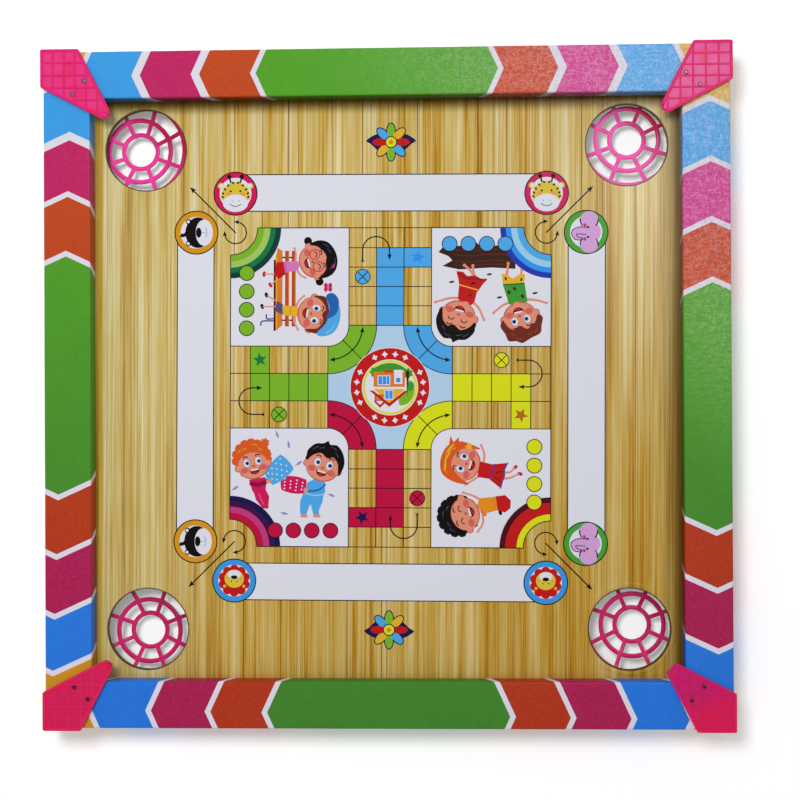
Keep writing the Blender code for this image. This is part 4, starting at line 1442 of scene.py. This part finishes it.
def guard_cells(trim):
    """The sunk cells between the ribs."""
    reach = GUARD_EDGE.y * GUARD_SIDE - GUARD_RIM
    limits = [
        ((-1, 0), -GUARD_RIM),
        ((0, -1), -GUARD_RIM),
        ((GUARD_EDGE.y, -GUARD_EDGE.x), reach),
        ((-GUARD_EDGE.x, GUARD_EDGE.y), reach),
        ((1, 1), ((trim or GUARD_UNTRIMMED) - GUARD_RIM) * math.sqrt(2)),
    ]
    wide, deep = (size - GUARD_RIB for size in GUARD_CELL)
    cells = []
    for column in range(GUARD_CELL_ROWS):
        for row in range(GUARD_CELL_ROWS):
            left = GUARD_CELL_START + GUARD_CELL[0] * column + GUARD_RIB / 2
            top = GUARD_CELL_START + GUARD_CELL[1] * row + GUARD_RIB / 2
            cell = clipped(oblong(left, top, left + wide, top + deep), limits)
            if len(cell) > 2 and abs(signed_area(cell)) > GUARD_SMALLEST_CELL:
                cells.append(cell)
    return cells


def slab(builder, outlines, low, high, edge_round):
    """A flat shape with holes, made solid between two heights with rounded edges."""
    curve_data = bpy.data.curves.new("slab", "CURVE")
    curve_data.dimensions = "2D"
    curve_data.fill_mode = "BOTH"
    curve_data.extrude = ((high - low) / 2 - edge_round) * MM
    curve_data.bevel_depth = edge_round * MM
    curve_data.bevel_resolution = 2
    curve_data.offset = -edge_round * MM
    for outline in outlines:
        spline = curve_data.splines.new("POLY")
        spline.points.add(len(outline) - 1)
        for point, (x, y) in zip(spline.points, outline):
            point.co = (x * MM, y * MM, 0, 1)
        spline.use_cyclic_u = True
    holder = link_new("slab", curve_data)
    graph = bpy.context.evaluated_depsgraph_get()
    mesh = bpy.data.meshes.new_from_object(holder.evaluated_get(graph))
    bpy.data.objects.remove(holder, do_unlink=True)
    bpy.data.curves.remove(curve_data)
    mesh.transform(Matrix.Translation((0, 0, (high + low) / 2 * MM)))
    builder.from_mesh(mesh)
    bpy.data.meshes.remove(mesh)


def build_guard(corner, code, deep_code, alpha, tint=None):
    """A corner guard: raised rim and ribs, sunk cells, and a skirt down the two outer sides."""
    node = corner + "_guard"
    low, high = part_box(node)
    place = Vector((high.x if high.x > 0 else low.x, high.y if high.y > 0 else low.y, 0))
    trim = GUARD_TRIMMED.get(corner)
    builder = bmesh.new()
    outline = guard_outline(trim)
    slab(builder, [outline] + guard_cells(trim), GUARD_RIBS, GUARD_TOP, 0.3)
    inside = [
        tuple(part * GUARD_FLOOR_SIZE + GUARD_FLOOR_SHIFT for part in point) for point in outline
    ]
    slab(builder, [inside], *GUARD_FLOOR, 0.1)
    end, wall = GUARD_SKIRT_END, GUARD_SKIRT
    skirt = rounded(
        [((0, 0), 1.5, 4), ((end, 0), 0.3, 2), ((end, wall), 0.3, 2), ((wall, wall), 0.2, 2),
         ((wall, end), 0.3, 2), ((0, end), 0.3, 2)]
    )
    slab(builder, [skirt], low.z / MM, GUARD_SKIRT_TOP, 0.25)
    bmesh.ops.remove_doubles(builder, verts=builder.verts, dist=1e-7)
    flip = Matrix.Diagonal((1, -1, 1, 1))
    spin = Matrix.Rotation(math.radians(GUARD_TURNS[corner]), 4, "Z")
    builder.transform(Matrix.Translation(place) @ spin @ flip)
    material = guard_material(node, code, deep_code, alpha, tint)
    add_stand_in(node, "_moulded", builder, material, 40)


def guard_material(name, cell_code, rib_code, alpha, tint):
    """Clear pink plastic that looks deeper in its ribs and rim than in its thin cells."""
    shade = Shade(name + "_plastic", rib_code, 0.3, Specular_IOR_Level=GUARD_SPECULAR, Alpha=alpha)
    x, y, z, place = shade.place()
    cloud = shade.between(shade.noise(place, 45.0), -0.25, 0.25)
    floor_top = GUARD_FLOOR[1] * MM
    thick = shade.step(z, floor_top + 0.00005, floor_top + 0.0003)
    depth = shade.maths("MINIMUM", thick + cloud, 1.0)
    colour = shade.mix(shade.maths("MAXIMUM", depth, 0.0), cell_code, rib_code)
    blotch = shade.step(shade.noise(place, 75.0), 0.45, 0.75)
    colour = shade.mix(blotch * 0.45, colour, "e81648")
    if tint:
        inner = shade.step(y - x * 0.35, -0.325, -0.300)
        colour = shade.mix(inner * 0.6, colour, tint)
    texture = shade.noise(place, 700.0)
    shade.bump(texture, 0.00012)
    shade.set(Base_Color=colour, Roughness=shade.between(texture, 0.22, 0.38))
    return shade.material


# ---------------------------------------------------------------- nails and pins

# For each kind: the words in its nodes' names, the shank's radius and the head's thickness, in
# millimetres.
FASTENER_KINDS = (
    ("corner_nail", 1.0, 0.8),
    ("panel_pin", 0.8, 0.6),
    ("net_pin", 0.6, 0.5),
    ("guard_tack", 0.8, 0.7),
)
FASTENER_STEPS = 20


def build_fasteners():
    steel = steel_material("dull_steel", "8a8a8e", "4c4d50")
    # Painted shade: darker, reddish steel for the tacks of the near guards.
    shaded_tack = steel_material("tarnished_steel", "55403f", "2a1c1f")
    for node in sorted(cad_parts):
        for kind, shank, thickness in FASTENER_KINDS:
            if kind in node:
                dark = kind == "guard_tack" and node.startswith("near")
                metal = shaded_tack if dark else steel
                build_fastener(node, kind, shank * MM, thickness * MM, metal)


def build_fastener(node, kind, shank, thickness, steel):
    """A turned nail with a domed head, along the same line as the node that it stands for."""
    low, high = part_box(node)
    middle, size = (low + high) / 2, high - low
    if kind == "corner_nail":
        out = Vector((1 if middle.x > 0 else -1, 0, 0))
        radius, length = size.y / 2, size.x
    else:
        out = Vector((0, 0, 1 if kind == "guard_tack" else -1))
        radius, length = size.x / 2, size.z
    top = middle + out * length / 2
    profile = [
        (0.0, 0.0),
        (radius * 0.45, thickness * 0.05),
        (radius * 0.78, thickness * 0.22),
        (radius * 0.95, thickness * 0.5),
        (radius, thickness * 0.8),
        (radius * 0.94, thickness),
        (shank, thickness),
        (shank, length - 2 * shank),
        (0.0, length),
    ]
    side = Vector((0, 1, 0))
    other = out.cross(side)
    builder = bmesh.new()
    rings = []
    for reach, depth in profile:
        centre = top - out * depth
        if reach == 0:
            rings.append([builder.verts.new(centre)] * FASTENER_STEPS)
            continue
        ring = []
        for i in range(FASTENER_STEPS):
            angle = math.tau * i / FASTENER_STEPS
            place = centre + (side * math.cos(angle) + other * math.sin(angle)) * reach
            ring.append(builder.verts.new(place))
        rings.append(ring)
    join_rings(builder, rings)
    add_stand_in(node, "_turned", builder, steel, 40)


# ---------------------------------------------------------------- floor, light and camera

FLOOR_HALF = 3.0
SKY_STRENGTH = 0.55
# Each light: its place, size and power, and the place that it is aimed at.
KEY_LIGHT = ((-0.354, 0.50, 1.6), 0.55, 16.5, (0, 0, 0))
WINDOW_LIGHT = ((0.48, 0.50, 1.5), 0.35, 9.0, (0.2, 0.2, 0))
# Above the board and a little right of its middle, leaning two degrees to look back at it.
CAMERA_PLACE = (0.05037, -0.01523, 1.1038)
CAMERA_TURNS = ((-0.0052, "Z"), (0.037, "Y"), (0.0056, "X"))
CAMERA_LENS = 65.23
CAMERA_SENSOR = 36.0


def build_stage():
    builder = bmesh.new()
    bmesh.ops.create_grid(builder, x_segments=8, y_segments=8, size=FLOOR_HALF)
    link_mesh("floor", builder, floor_material())


def area_light(name, place, size, watts, aim):
    light = bpy.data.lights.new(name, "AREA")
    light.shape = "DISK"
    light.size = size
    light.energy = watts
    holder = link_new(name, light)
    holder.location = place
    holder.rotation_mode = "QUATERNION"
    holder.rotation_quaternion = (Vector(place) - Vector(aim)).to_track_quat("Z", "Y")
    return holder


def build_light():
    """A key light at the far left without gloss, and a smaller one that gives gloss only."""
    world = bpy.data.worlds.new("studio")
    world.use_nodes = True
    sky = world.node_tree.nodes["Background"]
    sky.inputs["Color"].default_value = (1, 1, 1, 1)
    sky.inputs["Strength"].default_value = SKY_STRENGTH
    bpy.context.scene.world = world
    key = area_light("key", *KEY_LIGHT)
    key.visible_glossy = False
    window = area_light("window", *WINDOW_LIGHT)
    window.visible_diffuse = False
    bpy.context.scene.view_settings.view_transform = "Standard"


def build_camera():
    lens = bpy.data.cameras.new("camera")
    lens.sensor_width = CAMERA_SENSOR
    lens.lens = CAMERA_LENS
    camera = link_new("camera", lens)
    swing, lean, tip = (Matrix.Rotation(angle, 4, axis) for angle, axis in CAMERA_TURNS)
    camera.matrix_world = Matrix.Translation(CAMERA_PLACE) @ swing @ lean @ tip
    bpy.context.scene.camera = camera


# ---------------------------------------------------------------- build

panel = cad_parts["playing_panel"]
panel.data.materials.clear()
panel.data.materials.append(panel_material())

print_everything()
build_inks()
for rail in RAILS:
    build_rail(rail)
# Each net's pink, then the darker pink of its painted shade.
build_net("far_left", "ee3a9a", "b01048")
build_net("far_right", "f058ac", "a80c40")
build_net("near_right", "c81c60", "a00c48")
build_net("near_left", "ca1e64", "a81050")
build_guard("far_left", "ea3c84", "e02a7a", 0.8)
build_guard("far_right", "e4609f", "dc1a66", 0.88)
build_guard("near_right", "e0205c", "e4245c", 0.78, "c2207a")
build_guard("near_left", "d42058", "da2860", 0.86)
build_fasteners()
build_stage()
build_light()
build_camera()

bpy.context.view_layer.update()
